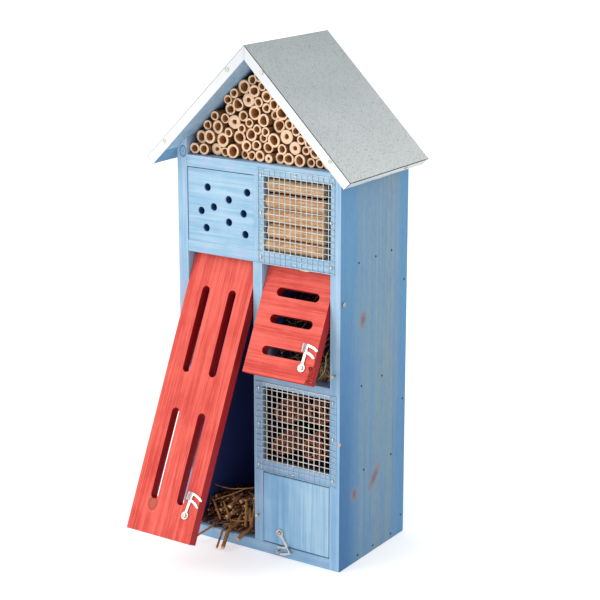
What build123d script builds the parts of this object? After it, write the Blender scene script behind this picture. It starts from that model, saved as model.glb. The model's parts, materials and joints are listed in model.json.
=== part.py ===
"""Insect hotel: a painted wooden house on two columns of bays, with a sheet-metal roof.

Frame: millimetres, +X to the right seen from the front, +Y to the back, +Z up.
The origin is the centre of the body's footprint, on the surface it stands on.
"""
import math
import os
import random

from build123d import *

# ---------------------------------------------------------------- driving dimensions
BODY_W = 196.0          # outside width over the two side walls
BODY_D = 128.0          # outside depth, front edges to rear face
BOARD = 12.0            # walls, shelves, base and back board
DIVIDER_T = 11.0        # the two upright dividers
RIDGE_Z = 528.0         # top of the metal ridge
ROOF_HALF_W = 121.0     # ridge to eave, measured level (the roof is pitched at 45 degrees)
ROOF_T = 9.2            # roof boards
SHEET_T = 0.8           # roof metal
FRONT_OVERHANG = 20.6   # roof in front of the walls

LOWER_SHELF_Z = 90.0    # undersides of the shelves
MIDDLE_SHELF_Z = 181.5
UPPER_SHELF_Z = 310.0
GABLE_SHELF_Z = 398.0
UPPER_DIVIDER_X = 1.5   # centre lines of the dividers
LOWER_DIVIDER_X = 0.0

DOOR_T = 11.0
DOOR_GAP = 0.8          # door edge to the wall or divider beside it
HEADROOM = 1.4          # door top to the shelf above, so that the top corner can turn
PIVOT_Z = 280.0         # pivot nails of the two red doors
LOWER_PIVOT_Z = 74.0
PIVOT_R = 1.25
PIVOT_CLEARANCE = 0.06
PIVOT_REACH = 15.0      # nail inside the door's edge
TALL_DOOR_BOTTOM = 18.5
SMALL_DOOR_BOTTOM = 196.0
LOWER_DOOR_BOTTOM = 13.0
TALL_REST = 25.3        # degrees that each door stands open at rest
SMALL_REST = 26.3
SLOT_W = 9.0

LATCH_T = 1.2
LATCH_GAP = 0.35        # latch to the door face behind it
LATCH_R = 19.4          # screw to catch pin
TINE_W = 2.4
TINE_INNER_R = 15.9
TINE_OUTER_R = 22.9
ARM_W = 2.8
EYE_R = 3.9
SCREW_R = 1.62
SCREW_CLEARANCE = 0.08

MESH_PITCH = 6.35
WIRE = 0.9
STAPLE_W = 4.6

HOLE_R = 4.0
HOLE_DEPTH = 55.0
BLOCK_DEPTH = 70.0
TUBE_SPACING = 0.75     # mean air between neighbouring bamboo tubes
TUBE_SEED = 11

# ---------------------------------------------------------------- derived places
FRONT = -BODY_D / 2
BACK = BODY_D / 2
WALL_X = BODY_W / 2
INNER_X = WALL_X - BOARD
INNER_BACK = BACK - BOARD
ROOF_FRONT = FRONT - FRONT_OVERHANG
ROOF_H = ROOF_T + SHEET_T
SLOPE_END = ROOF_HALF_W * math.sqrt(2)
LOW_LEFT_X = LOWER_DIVIDER_X - DIVIDER_T / 2
LOW_RIGHT_X = LOWER_DIVIDER_X + DIVIDER_T / 2
UP_LEFT_X = UPPER_DIVIDER_X - DIVIDER_T / 2
PIVOT_Y = FRONT + DOOR_T / 2
LATCH_BACK = FRONT - LATCH_GAP
LATCH_FRONT = LATCH_BACK - LATCH_T

# each latch: screw x and z with the door shut, then the bearings of its arm at rest and of its
# catch pin from the screw, in degrees clockwise from straight up
TALL_LATCH = (-19.0, 45.0, 7.0, 101.6)
SMALL_LATCH = (72.8, 210.7, 1.0, 98.3)
LOWER_LATCH = (26.6, 26.6, 146.0, 182.1)


# ---------------------------------------------------------------- helpers
def box(x0, x1, y0, y1, z0, z1):
    """A box between two corners."""
    return Pos((x0 + x1) / 2, (y0 + y1) / 2, (z0 + z1) / 2) * Box(x1 - x0, y1 - y0, z1 - z0)


def prism(points, y0, y1):
    """An outline in the X-Z plane, run from y0 back to y1."""
    outline = make_face(Polyline(*points, close=True))
    return extrude(Plane.XZ.offset(-y1) * outline, amount=y1 - y0)


def rod_y(x, z, radius, y0, y1):
    """A round bar along Y."""
    return Pos(x, (y0 + y1) / 2, z) * Rot(90, 0, 0) * Cylinder(radius, y1 - y0)


def rod_x(y, z, radius, x0, x1):
    """A round bar along X."""
    return Pos((x0 + x1) / 2, y, z) * Rot(0, 90, 0) * Cylinder(radius, x1 - x0)


def slope_point(along, deep):
    """A point of the right-hand roof slope: along it from the ridge, and below its top face."""
    return ((along - deep) / math.sqrt(2), RIDGE_Z - (along + deep) / math.sqrt(2))


def mirrored(points):
    """The same outline on the left-hand side, in the opposite order."""
    return [(-x, z) for x, z in reversed(points)]


def roof_underside(x):
    """Height of the roof boards' underside over a given x."""
    return RIDGE_Z - ROOF_H * math.sqrt(2) - abs(x)


def swing(shape, pivot_z, degrees):
    """Turn a door, or what is on it, outwards about its pivot nails."""
    pivot = Pos(0, PIVOT_Y, pivot_z)
    return pivot * Rot(-degrees, 0, 0) * pivot.inverse() * shape


# ---------------------------------------------------------------- body
def side_wall(side):
    """A side wall, its top bevelled to the roof."""
    outer = side * WALL_X
    inner = side * INNER_X
    outline = [(outer, 0), (inner, 0), (inner, roof_underside(inner)), (outer, roof_underside(outer))]
    return prism(outline, FRONT, BACK)


def back_board():
    """The back, between the walls, with its gable."""
    shoulder = roof_underside(INNER_X)
    outline = [(-INNER_X, 0), (INNER_X, 0), (INNER_X, shoulder), (0, roof_underside(0)), (-INNER_X, shoulder)]
    return prism(outline, INNER_BACK, BACK)


def shelf(x0, x1, underside):
    """A shelf or the base, from the front edge back to the back board."""
    return box(x0, x1, FRONT, INNER_BACK, underside, underside + BOARD)


def divider(centre_x, z0, z1):
    """An upright between two shelves."""
    return box(centre_x - DIVIDER_T / 2, centre_x + DIVIDER_T / 2, FRONT, INNER_BACK, z0, z1)


def hole_places():
    """Centres of the drilled nesting holes, in loose rows."""
    return [(-61, 379), (-12.5, 379), (-35, 369), (-53.5, 359.5), (-69, 354), (-17, 357),
            (-35, 346), (-63, 337), (-15, 336)]


def drilled_block():
    """The hardwood nesting block, with blind holes."""
    x0 = -INNER_X + 0.8
    x1 = UP_LEFT_X - 0.4
    block = box(x0, x1, FRONT + 0.6, FRONT + BLOCK_DEPTH, UPPER_SHELF_Z + BOARD, GABLE_SHELF_Z - 0.9)
    for x, z in hole_places():
        block -= rod_y(x, z, HOLE_R, FRONT, FRONT + HOLE_DEPTH)
    return block


# ---------------------------------------------------------------- roof
def roof_board(side):
    """One slope of the roof, meeting the other on the centre plane."""
    end = SLOPE_END - SHEET_T
    corners = [(SHEET_T, SHEET_T), (end, SHEET_T), (end, ROOF_H), (ROOF_H, ROOF_H)]
    outline = [slope_point(along, deep) for along, deep in corners]
    if side < 0:
        outline = mirrored(outline)
    return prism(outline, ROOF_FRONT + SHEET_T, BACK - SHEET_T)


def roof_sheet():
    """The metal covering: one bent sheet, folded down at the front, the back and both eaves."""
    skin_corners = [(0, 0), (SLOPE_END, 0), (SLOPE_END, ROOF_H), (SLOPE_END - SHEET_T, ROOF_H),
                    (SLOPE_END - SHEET_T, SHEET_T), (SHEET_T, SHEET_T)]
    right = [slope_point(along, deep) for along, deep in skin_corners]
    skin = prism(right + mirrored(right)[1:-1], ROOF_FRONT, BACK)
    lip_corners = [(0, 0), (SLOPE_END, 0), (SLOPE_END, ROOF_H), (ROOF_H, ROOF_H)]
    right = [slope_point(along, deep) for along, deep in lip_corners]
    lip = right + mirrored(right)[1:-1]
    front = prism(lip, ROOF_FRONT, ROOF_FRONT + SHEET_T)
    rear = prism(lip, BACK - SHEET_T, BACK)
    return skin + front + rear


def roof_nails():
    """Flat-headed nails: two in each front fold, one in each eave fold."""
    nails = []
    for along in (32.0, 142.0):
        for side in (-1, 1):
            x, z = slope_point(along, 3.4)
            head = rod_y(side * x, z, 2.2, ROOF_FRONT - 0.6, ROOF_FRONT)
            nails.append(head + rod_y(side * x, z, 0.9, ROOF_FRONT, ROOF_FRONT + 18))
    for side in (-1, 1):
        x, z = slope_point(SLOPE_END, ROOF_H / 2)
        head = Pos(0, 0, 0.3) * Cylinder(2.2, 0.6)
        shank = Pos(0, 0, -8) * Cylinder(0.9, 16)
        nails.append(Pos(side * x, 25, z) * Rot(0, side * 135, 0) * (head + shank))
    return nails


# ---------------------------------------------------------------- nails in the walls
def wall_nail_places():
    """Depth behind the front edge and height of the nails in one wall."""
    shelf_nails = {6.0: (35.5, 65.5, 101.5), 96.0: (46.0, 100.0), 187.5: (40.0, 80.0), 316.0: (33.0, 65.0, 96.0)}
    places = [(depth, z) for z, depths in shelf_nails.items() for depth in depths]
    return places + [(BODY_D - BOARD / 2, z) for z in (20.5, 151.0, 280.0)]


def wall_nails():
    """Small round-headed nails, through the walls into the shelves and the back."""
    nails = []
    for side in (-1, 1):
        for depth, z in wall_nail_places():
            if side < 0 and z in (96.0, 187.5):
                continue    # these two shelves don't reach the left wall
            ends = sorted((side * (WALL_X - 24), side * WALL_X))
            head_ends = sorted((side * WALL_X, side * (WALL_X + 0.3)))
            nail = rod_x(FRONT + depth, z, 0.6, *ends) + rod_x(FRONT + depth, z, 1.1, *head_ends)
            nails.append(nail)
    return nails


# ---------------------------------------------------------------- doors
def pivot_holes(x0, x1, pivot_z):
    """The two blind holes that the pivot nails turn in."""
    radius = PIVOT_R + PIVOT_CLEARANCE
    reach = PIVOT_REACH + 1
    return rod_x(PIVOT_Y, pivot_z, radius, x0, x0 + reach) + rod_x(PIVOT_Y, pivot_z, radius, x1 - reach, x1)


def slot(x, z, length, upright):
    """A round-ended slot through a door."""
    sketch = SlotOverall(length, SLOT_W, rotation=90 if upright else 0)
    return Pos(x, 0, z) * extrude(Plane.XZ.offset(-FRONT - DOOR_T - 1) * sketch, amount=DOOR_T + 2)


def door(x0, x1, bottom, top, pivot_z):
    """A plain door, shut, with eased long edges and its pivot holes."""
    blank = box(x0, x1, FRONT, FRONT + DOOR_T, bottom, top)
    blank = fillet(blank.edges().filter_by(Axis.X), 0.8)
    return blank - pivot_holes(x0, x1, pivot_z)


def tall_door():
    """The tall door, with two upright slots above and two below."""
    x0 = -INNER_X + DOOR_GAP
    x1 = LOW_LEFT_X - DOOR_GAP
    shut = door(x0, x1, TALL_DOOR_BOTTOM, UPPER_SHELF_Z - HEADROOM, PIVOT_Z)
    for z, length in ((229.0, 90), (100.2, 93.5)):
        for offset in (-15.6, 17.0):
            shut -= slot((x0 + x1) / 2 + offset, z, length, upright=True)
    return swing(shut, PIVOT_Z, TALL_REST)


def small_door():
    """The small door, with three level slots."""
    x0 = LOW_RIGHT_X + DOOR_GAP
    x1 = INNER_X - DOOR_GAP
    shut = door(x0, x1, SMALL_DOOR_BOTTOM, UPPER_SHELF_Z - HEADROOM, PIVOT_Z)
    for z in (281.0, 253.5, 221.5):
        shut -= slot((x0 + x1) / 2 + 2, z, 50, upright=False)
    return swing(shut, PIVOT_Z, SMALL_REST)


def lower_door():
    """The plain painted door under the cone bay, shut at rest."""
    x0 = LOW_RIGHT_X + DOOR_GAP
    x1 = INNER_X - DOOR_GAP
    return door(x0, x1, LOWER_DOOR_BOTTOM, LOWER_SHELF_Z - 1.5, LOWER_PIVOT_Z)


def outer_pivot(side, pivot_z):
    """A round-headed nail through a wall into a door's edge."""
    edge = side * (INNER_X - DOOR_GAP - PIVOT_REACH)
    shank = rod_x(PIVOT_Y, pivot_z, PIVOT_R, *sorted((edge, side * WALL_X)))
    head = rod_x(PIVOT_Y, pivot_z, 2.6, *sorted((side * WALL_X, side * (WALL_X + 1.0))))
    return shank + head


def sunk_pivot(pivot_z):
    """A headless nail through the right wall into a door's edge, sunk below the stained surface."""
    edge = INNER_X - DOOR_GAP - PIVOT_REACH
    return rod_x(PIVOT_Y, pivot_z, PIVOT_R, edge, WALL_X - 1.0)


def divider_pivot(pivot_z, left_reach):
    """A headless nail through the lower divider, into the door on each side or only the right one."""
    right = LOW_RIGHT_X + DOOR_GAP + PIVOT_REACH
    left = LOW_LEFT_X - DOOR_GAP - PIVOT_REACH if left_reach else LOW_LEFT_X
    return rod_x(PIVOT_Y, pivot_z, PIVOT_R, left, right)


# ---------------------------------------------------------------- latches
def tine(radius, sweep):
    """A curved tine about the latch screw, from the arm clockwise through an angle."""
    arc = CenterArc((0, 0), radius, 90 - sweep, sweep)
    inner = CenterArc((0, 0), radius - TINE_W / 2, 90 - sweep, sweep)
    outer = CenterArc((0, 0), radius + TINE_W / 2, 90 - sweep, sweep)
    start = Line(inner @ 1, outer @ 1)
    end = Line(inner @ 0, outer @ 0)
    band = make_face([inner, outer, start, end])
    return band + Pos(*tuple(arc @ 0)[:2]) * Circle(TINE_W / 2)


def latch_plate():
    """The stamped fork in its own plane, screw hole at the origin, arm along +Y of the sketch."""
    top = TINE_OUTER_R + TINE_W / 2
    arm = Pos(0, (EYE_R + top) / 2 - 0.5) * Rectangle(ARM_W, top - EYE_R + 1)
    plate = Circle(EYE_R) + arm + tine(TINE_INNER_R, 41) + tine(TINE_OUTER_R, 31)
    return plate - Circle(SCREW_R + SCREW_CLEARANCE)


def latch(place):
    """A latch on a shut door: the flat fork and the finger tab folded out of its edge."""
    x, z, angle, _ = place
    plate = extrude(Plane.XZ * latch_plate(), amount=LATCH_T)
    tab_z0 = TINE_INNER_R
    tab_z1 = TINE_OUTER_R + TINE_W / 2
    profile = [(-ARM_W / 2, 0), (-ARM_W / 2 - 1.4, -4.4), (-ARM_W / 2 - 0.4, -4.6), (-ARM_W / 2 + 1.0, 0)]
    tab = extrude(make_face(Polyline(*profile, close=True)), amount=tab_z1 - tab_z0)
    both = plate + Pos(0, 0, tab_z0) * tab
    return Pos(x, LATCH_BACK, z) * Rot(0, angle, 0) * both


def latch_screw(place):
    """The cross-headed screw that a latch turns on."""
    x, z, *_ = place
    shank = rod_y(x, z, SCREW_R, LATCH_FRONT - 0.2, FRONT + 8)
    dome = Pos(x, LATCH_FRONT - 0.15, z) * Rot(90, 0, 0) * extrude(Circle(2.5), amount=1.5, taper=18)
    cross = box(-1.6, 1.6, -0.4, 0.4, -0.4, 0.4) + box(-0.4, 0.4, -0.4, 0.4, -1.6, 1.6)
    return shank + dome - Pos(x, LATCH_FRONT - 1.6, z) * cross


def catch_pin(place):
    """The small brass pin in the frame that a latch's fork slides behind."""
    screw_x, screw_z, _, bearing = place
    x = screw_x + LATCH_R * math.sin(math.radians(bearing))
    z = screw_z + LATCH_R * math.cos(math.radians(bearing))
    shank = rod_y(x, z, 1.0, FRONT - 4.4, FRONT + 9)
    return shank + rod_y(x, z, 1.7, FRONT - 5.2, FRONT - 4.0)


# ---------------------------------------------------------------- wire mesh
def wire_mesh(x0, z0, cells_x, cells_z):
    """A square mesh of welded wire, flat on the front edges."""
    width = cells_x * MESH_PITCH + WIRE
    height = cells_z * MESH_PITCH + WIRE
    gap = MESH_PITCH - WIRE
    sheet = Rectangle(width, height) - GridLocations(MESH_PITCH, MESH_PITCH, cells_x, cells_z) * Rectangle(gap, gap)
    flat = extrude(Plane.XZ * sheet, amount=WIRE)
    return Pos(x0 + width / 2 - WIRE / 2, FRONT, z0 + height / 2 - WIRE / 2) * flat


def staple(x, z, upright):
    """A wire staple over the mesh, its two legs in the wood."""
    front = FRONT - WIRE
    half = STAPLE_W / 2
    crown = box(-half, half, front - 0.8, front, -0.5, 0.5)
    for side in (-1, 1):
        inner = side * (half - 0.8)
        crown += box(*sorted((inner, side * half)), front - 0.8, FRONT + 6, -0.5, 0.5)
    return Pos(x, 0, z) * Rot(0, 90 if upright else 0, 0) * crown


def mesh_staples(x0, z0, cells_x, cells_z, rows, columns):
    """Staples along the edges of one mesh: upright beside the sides, level along top and bottom."""
    right = x0 + cells_x * MESH_PITCH
    top = z0 + cells_z * MESH_PITCH
    staples = []
    for row in rows:
        z = z0 + row * MESH_PITCH
        staples.append(staple(x0 + MESH_PITCH / 2, z, upright=True))
        staples.append(staple(right - MESH_PITCH / 2, z, upright=True))
    for column in columns:
        x = x0 + column * MESH_PITCH
        staples.append(staple(x, z0 + MESH_PITCH / 2, upright=False))
        staples.append(staple(x, top - MESH_PITCH / 2, upright=False))
    return staples


# ---------------------------------------------------------------- fillings
def meeting_points(first, second):
    """Where the centre of a new circle can lie: on two offset lines or circles at once."""
    if first[0] == "circle" and second[0] == "line":
        first, second = second, first
    _, a = first
    _, b = second
    if second[0] == "line":
        det = a[0] * b[1] - a[1] * b[0]
        if abs(det) < 1e-9:
            return []
        return [((a[2] * b[1] - a[1] * b[2]) / det, (a[0] * b[2] - a[2] * b[0]) / det)]
    if first[0] == "line":
        distance = a[2] - a[0] * b[0] - a[1] * b[1]
        if abs(distance) > b[2]:
            return []
        half = math.sqrt(b[2] ** 2 - distance ** 2)
        foot = (b[0] + a[0] * distance, b[1] + a[1] * distance)
        return [(foot[0] - a[1] * k * half, foot[1] + a[0] * k * half) for k in (-1, 1)]
    dx, dz = b[0] - a[0], b[1] - a[1]
    gap = math.hypot(dx, dz)
    if gap < 1e-9 or gap > a[2] + b[2]:
        return []
    along = (a[2] ** 2 - b[2] ** 2 + gap ** 2) / (2 * gap)
    half = math.sqrt(max(a[2] ** 2 - along ** 2, 0))
    return [(a[0] + (dx * along - dz * k * half) / gap, a[1] + (dz * along + dx * k * half) / gap)
            for k in (-1, 1)]


def gable_tubes():
    """Centres and radii of bamboo tubes dropped one by one into the gable, lowest free place first."""
    pick = random.Random(TUBE_SEED)
    root_half = 1 / math.sqrt(2)
    # each wall as (a, b, c): inside is where a x + b z >= c, with (a, b) a unit normal
    walls = [(0, 1, GABLE_SHELF_Z + BOARD), (1, 0, -INNER_X), (-1, 0, -INNER_X),
             (root_half, -root_half, -roof_underside(0) * root_half),
             (-root_half, -root_half, -roof_underside(0) * root_half)]
    tubes = []
    misses = 0
    while misses < 6:
        radius = pick.uniform(4.3, 7.0)
        spacing = radius + TUBE_SPACING * pick.uniform(0.3, 1.0)
        shapes = [("line", (a, b, c + spacing)) for a, b, c in walls]
        shapes += [("circle", (x, z, r + spacing)) for x, z, r in tubes]
        best = None
        for i, first in enumerate(shapes):
            for second in shapes[:i]:
                for x, z in meeting_points(first, second):
                    clear = all(a * x + b * z >= c + spacing - 1e-6 for a, b, c in walls)
                    clear = clear and all(math.hypot(x - u, z - v) >= r + spacing - 1e-6 for u, v, r in tubes)
                    if clear and (best is None or z < best[1]):
                        best = (x, z, radius)
        if best is None:
            misses += 1
        else:
            tubes.append(best)
    return tubes


def bamboo_tube(index, x, z, radius):
    """One tube of cut bamboo; every ninth one is thick-walled with a narrow bore."""
    pick = random.Random(100 + index)
    front = FRONT + pick.uniform(4, 10)
    bore = radius * (0.36 if index % 9 == 4 else pick.uniform(0.6, 0.71))
    tube = rod_y(x, z, radius, front, INNER_BACK - 2)
    return tube - rod_y(x, z, bore, front - 1, INNER_BACK - 1)


def wood_logs():
    """Five peeled logs stacked behind the upper mesh, bottom to top: radius, left end, right end."""
    sizes = [(6.6, 7.4, 76.6), (7.5, 10.0, 76.2), (7.4, 7.4, 77.0), (7.5, 7.6, 77.2), (6.9, 9.6, 76.0)]
    logs = []
    z = UPPER_SHELF_Z + BOARD
    for radius, x0, x1 in sizes:
        log = rod_x(FRONT + 1.4 + radius, z + radius, radius, x0, x1)
        logs.append(fillet(log.edges(), 0.6))
        z += 2 * radius + (1.4 if len(logs) == 4 else 0.1)
    return logs


def pine_cone(x, depth, z, radius, half_length):
    """The envelope of a pine cone lying front to back."""
    half = Ellipse(radius, half_length) & Pos(radius, 0) * Rectangle(2 * radius, 2 * half_length)
    cone = revolve(half, Axis.Y, 360)
    return Pos(x, FRONT + depth, z) * cone


def twig_bundle():
    """The brushwood at the foot of the tall bay, as the space that it fills."""
    outline = [(FRONT + 15, BOARD), (INNER_BACK - 3, BOARD), (INNER_BACK - 3, 44), (FRONT + 46, 50),
               (FRONT + 22, 46)]
    side = make_face(Polyline(*outline, close=True))
    return Pos(-INNER_X + 1.5, 0, 0) * extrude(Plane.YZ * side, amount=BODY_W / 2 - DIVIDER_T / 2 - BOARD - 3)


def loose_stick(x, radius, tip_x, tip_y, tip_z):
    """A stick lying on the base under the shut door's edge, its front end drooping outside."""
    level = BOARD + radius + 0.25
    points = [(x, FRONT + 14.5, level), (x, FRONT - 1.5, level), (tip_x, tip_y, tip_z)]
    path = FilletPolyline(*points, radius=8)
    return sweep(Plane(path @ 0, z_dir=path % 0) * Circle(radius), path=path)


def nest_straw():
    """The dry grass in the small bay, kept clear of the space that its door turns in."""
    floor = MIDDLE_SHELF_Z + BOARD
    outline = [(FRONT + 15, floor), (INNER_BACK - 3, floor), (INNER_BACK - 3, 296), (FRONT + 42, 290),
               (FRONT + 37, 252), (FRONT + 18, 226)]
    side = make_face(Polyline(*outline, close=True))
    return Pos(LOW_RIGHT_X + 1.5, 0, 0) * extrude(Plane.YZ * side, amount=INNER_X - LOW_RIGHT_X - 3)


# ---------------------------------------------------------------- the whole object
def body_nodes():
    """Fixed boards, roof and nails."""
    return {
        "left_wall": side_wall(-1),
        "right_wall": side_wall(1),
        "back_board": back_board(),
        "base_board": shelf(-INNER_X, INNER_X, 0),
        "lower_shelf": shelf(LOW_RIGHT_X, INNER_X, LOWER_SHELF_Z),
        "middle_shelf": shelf(LOW_RIGHT_X, INNER_X, MIDDLE_SHELF_Z),
        "upper_shelf": shelf(-INNER_X, INNER_X, UPPER_SHELF_Z),
        "gable_shelf": shelf(-INNER_X, INNER_X, GABLE_SHELF_Z),
        "lower_divider": divider(LOWER_DIVIDER_X, BOARD, UPPER_SHELF_Z),
        "upper_divider": divider(UPPER_DIVIDER_X, UPPER_SHELF_Z + BOARD, GABLE_SHELF_Z),
        "drilled_block": drilled_block(),
        "roof_board_left": roof_board(-1),
        "roof_board_right": roof_board(1),
        "roof_sheet": roof_sheet(),
        "roof_nails": Compound(children=roof_nails()),
        "wall_nails": Compound(children=wall_nails()),
    }


def mesh_nodes():
    """Both wire meshes with their staples."""
    upper = (1.5, UPPER_SHELF_Z + 0.1, 14, 15)
    lower = (-2.0, LOWER_SHELF_Z + 0.6, 15, 15)
    return {
        "upper_mesh": wire_mesh(*upper),
        "lower_mesh": wire_mesh(*lower),
        "upper_mesh_staples": Compound(children=mesh_staples(*upper, rows=(1, 8, 14), columns=(7,))),
        "lower_mesh_staples": Compound(children=mesh_staples(*lower, rows=(1, 8, 14), columns=(7,))),
    }


def filling_nodes():
    """What the insects nest in."""
    nodes = {}
    tubes = [bamboo_tube(i, *tube) for i, tube in enumerate(gable_tubes())]
    group = 11
    for first in range(0, len(tubes), group):
        name = f"bamboo_layer_{first // group + 1}"
        nodes[name] = Compound(children=tubes[first:first + group])
    for number, log in enumerate(wood_logs(), 1):
        nodes[f"wood_log_{number}"] = log
    cones = [(61, 26, 122, 19.4, 24), (23.5, 25, 119, 16.3, 22),
             (26.5, 27, 154.5, 18.8, 23), (65, 26, 160, 18.3, 21)]
    for number, cone in enumerate(cones, 1):
        nodes[f"pine_cone_{number}"] = pine_cone(*cone)
    nodes["twig_bundle"] = twig_bundle()
    sticks = [loose_stick(-38, 2.3, -30, FRONT - 22, 3.5), loose_stick(-19.5, 2.4, -21, FRONT - 8, 9.5),
              loose_stick(-46, 1.3, -37, FRONT - 24, 3.0), loose_stick(-60, 1.3, -69, FRONT - 22, 6.0)]
    nodes["loose_sticks"] = Compound(children=sticks)
    nodes["nest_straw"] = nest_straw()
    return nodes


def door_nodes():
    """Doors, latches, screws, pivot nails and catch pins."""
    return {
        "tall_door": tall_door(),
        "tall_latch": swing(latch(TALL_LATCH), PIVOT_Z, TALL_REST),
        "tall_latch_screw": swing(latch_screw(TALL_LATCH), PIVOT_Z, TALL_REST),
        "small_door": small_door(),
        "small_latch": swing(latch(SMALL_LATCH), PIVOT_Z, SMALL_REST),
        "small_latch_screw": swing(latch_screw(SMALL_LATCH), PIVOT_Z, SMALL_REST),
        "lower_door": lower_door(),
        "lower_latch": latch(LOWER_LATCH),
        "lower_latch_screw": latch_screw(LOWER_LATCH),
        "tall_door_pivot": outer_pivot(-1, PIVOT_Z),
        "small_door_pivot": outer_pivot(1, PIVOT_Z),
        "shared_pivot": divider_pivot(PIVOT_Z, left_reach=True),
        "lower_door_pivots": Compound(children=[sunk_pivot(LOWER_PIVOT_Z),
                                                divider_pivot(LOWER_PIVOT_Z, left_reach=False)]),
        "tall_catch_pin": catch_pin(TALL_LATCH),
        "small_catch_pin": catch_pin(SMALL_LATCH),
        "lower_catch_pin": catch_pin(LOWER_LATCH),
    }


def main():
    """Write one STEP file per node."""
    os.makedirs("parts", exist_ok=True)
    nodes = body_nodes() | mesh_nodes() | filling_nodes() | door_nodes()
    for name, shape in nodes.items():
        export_step(shape, f"parts/{name}.step")


main()
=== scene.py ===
"""Looks of the insect hotel: stained boards, sheet-metal roof, welded wire and nesting fillings.

It is laid out as an add-on and run as a script. Metres, +X to the right seen from the front,
+Y to the back, +Z up, with the origin under the middle of the body.
"""
import json
import math
import random

import bmesh
import bpy
import numpy as np
from mathutils import Matrix, Vector, noise


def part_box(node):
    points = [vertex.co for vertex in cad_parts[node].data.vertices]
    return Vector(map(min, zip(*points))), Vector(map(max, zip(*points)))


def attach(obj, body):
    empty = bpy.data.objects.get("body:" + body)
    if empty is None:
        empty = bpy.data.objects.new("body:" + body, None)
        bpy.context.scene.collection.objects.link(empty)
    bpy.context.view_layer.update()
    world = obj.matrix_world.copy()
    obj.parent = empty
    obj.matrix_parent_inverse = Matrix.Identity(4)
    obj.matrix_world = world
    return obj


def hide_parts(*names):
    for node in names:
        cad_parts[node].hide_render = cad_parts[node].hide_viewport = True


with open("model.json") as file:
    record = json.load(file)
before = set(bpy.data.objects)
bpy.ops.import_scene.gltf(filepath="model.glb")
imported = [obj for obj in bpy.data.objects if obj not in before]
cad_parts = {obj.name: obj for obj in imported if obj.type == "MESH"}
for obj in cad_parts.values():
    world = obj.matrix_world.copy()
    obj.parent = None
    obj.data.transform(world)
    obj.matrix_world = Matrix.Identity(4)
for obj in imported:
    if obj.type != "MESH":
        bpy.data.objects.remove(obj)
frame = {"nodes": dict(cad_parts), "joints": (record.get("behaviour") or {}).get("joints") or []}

bl_info = {
    "name": "Insect hotel",
    "version": (1, 0, 0),
    "blender": (4, 5, 0),
    "location": "3D View > Sidebar > Insect Hotel",
    "description": "Finishes a stained wooden insect hotel around its fixed frame",
    "category": "Object",
}

MM = 0.001
WELD = 0.002 * MM           # points of the CAD mesh nearer than this are one
GOLDEN_ANGLE = math.pi * (3 - math.sqrt(5))
CAMERA_PLACE = (0.9398, -1.4063, 0.7302)
LIGHT_AIM = (0, 0, 0.26)    # the middle of the house
WANDER_SHIFTS = ((0.0, 0.0, 0.0), (31.4, 17.2, 5.8), (9.6, 43.1, 22.7))
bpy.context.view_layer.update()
WALL_LOW, WALL_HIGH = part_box("right_wall")
FRONT = WALL_LOW.y          # plane of the boards' front edges
INNER_X = WALL_LOW.x        # inner face of the right wall
BOARD_NODES = {
    "upright": ["left_wall", "right_wall", "back_board", "lower_divider", "upper_divider"],
    "level": ["base_board", "lower_shelf", "middle_shelf", "upper_shelf", "gable_shelf",
              "roof_board_left", "roof_board_right"],
}


def linear(code):
    """A six-digit sRGB hex colour as linear RGB."""
    shares = [int(code[i:i + 2], 16) / 255 for i in (0, 2, 4)]
    return tuple(s / 12.92 if s <= 0.04045 else ((s + 0.055) / 1.055) ** 2.4 for s in shares)


# ---------------------------------------------------------------- settings
def tint(name, description, code):
    """A colour setting with an sRGB hex default."""
    return bpy.props.FloatVectorProperty(name=name, description=description, subtype="COLOR", size=3,
                                         min=0, max=1, default=linear(code))


def size(name, description, millimetres):
    """A length setting with a default in millimetres."""
    return bpy.props.FloatProperty(name=name, description=description, unit="LENGTH", precision=5,
                                   default=millimetres * MM)


class StainSettings(bpy.types.PropertyGroup):
    """Stain and timber of the boards and doors."""
    blue_light: tint("Blue, thin", "Blue stain where the pale wood shows through", "A6C4D8")
    blue_deep: tint("Blue, thick", "Blue stain where the wood drank more of it", "83ABC8")
    # painted shade: the outside of the walls is a darker blue that stands for the shaded sides
    blue_side_painted_shade: tint("Blue, weathered", "Blue stain on the outside of the walls", "5E94BC")
    grey_side: tint("Bare streaks", "Greyed wood that shows in streaks on the outside", "8D9FA2")
    # painted shade: this deep blue stands for the shade deep inside the bays
    navy_painted_shade: tint("Blue, unlit inside", "Stain inside the bays, thick and never sanded", "34457F")
    red_light: tint("Red, thin", "Red stain where the pale wood shows through", "EC6657")
    red_deep: tint("Red, thick", "Red stain where the wood drank more of it", "C6392F")
    # painted shade: the dark red of the doors' sawn edges and slots
    red_edge_painted_shade: tint("Red, end grain", "Red stain on sawn edges and in the slots", "9C1216")
    knot: tint("Knot", "Resinous knots that show brown through the stain", "8A6862")
    edge_radius: size("Edge radius", "How far the sawn edges of the boards are worn round", 0.45)
    door_edge: size("Door edge", "How far the doors' edges and slots are worn round", 0.2)
    grain_width: size("Grain width", "Mean width of one growth ring on a board's face", 1.3)
    grain_length: size("Grain length", "Mean length of one streak along a board", 70)


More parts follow.
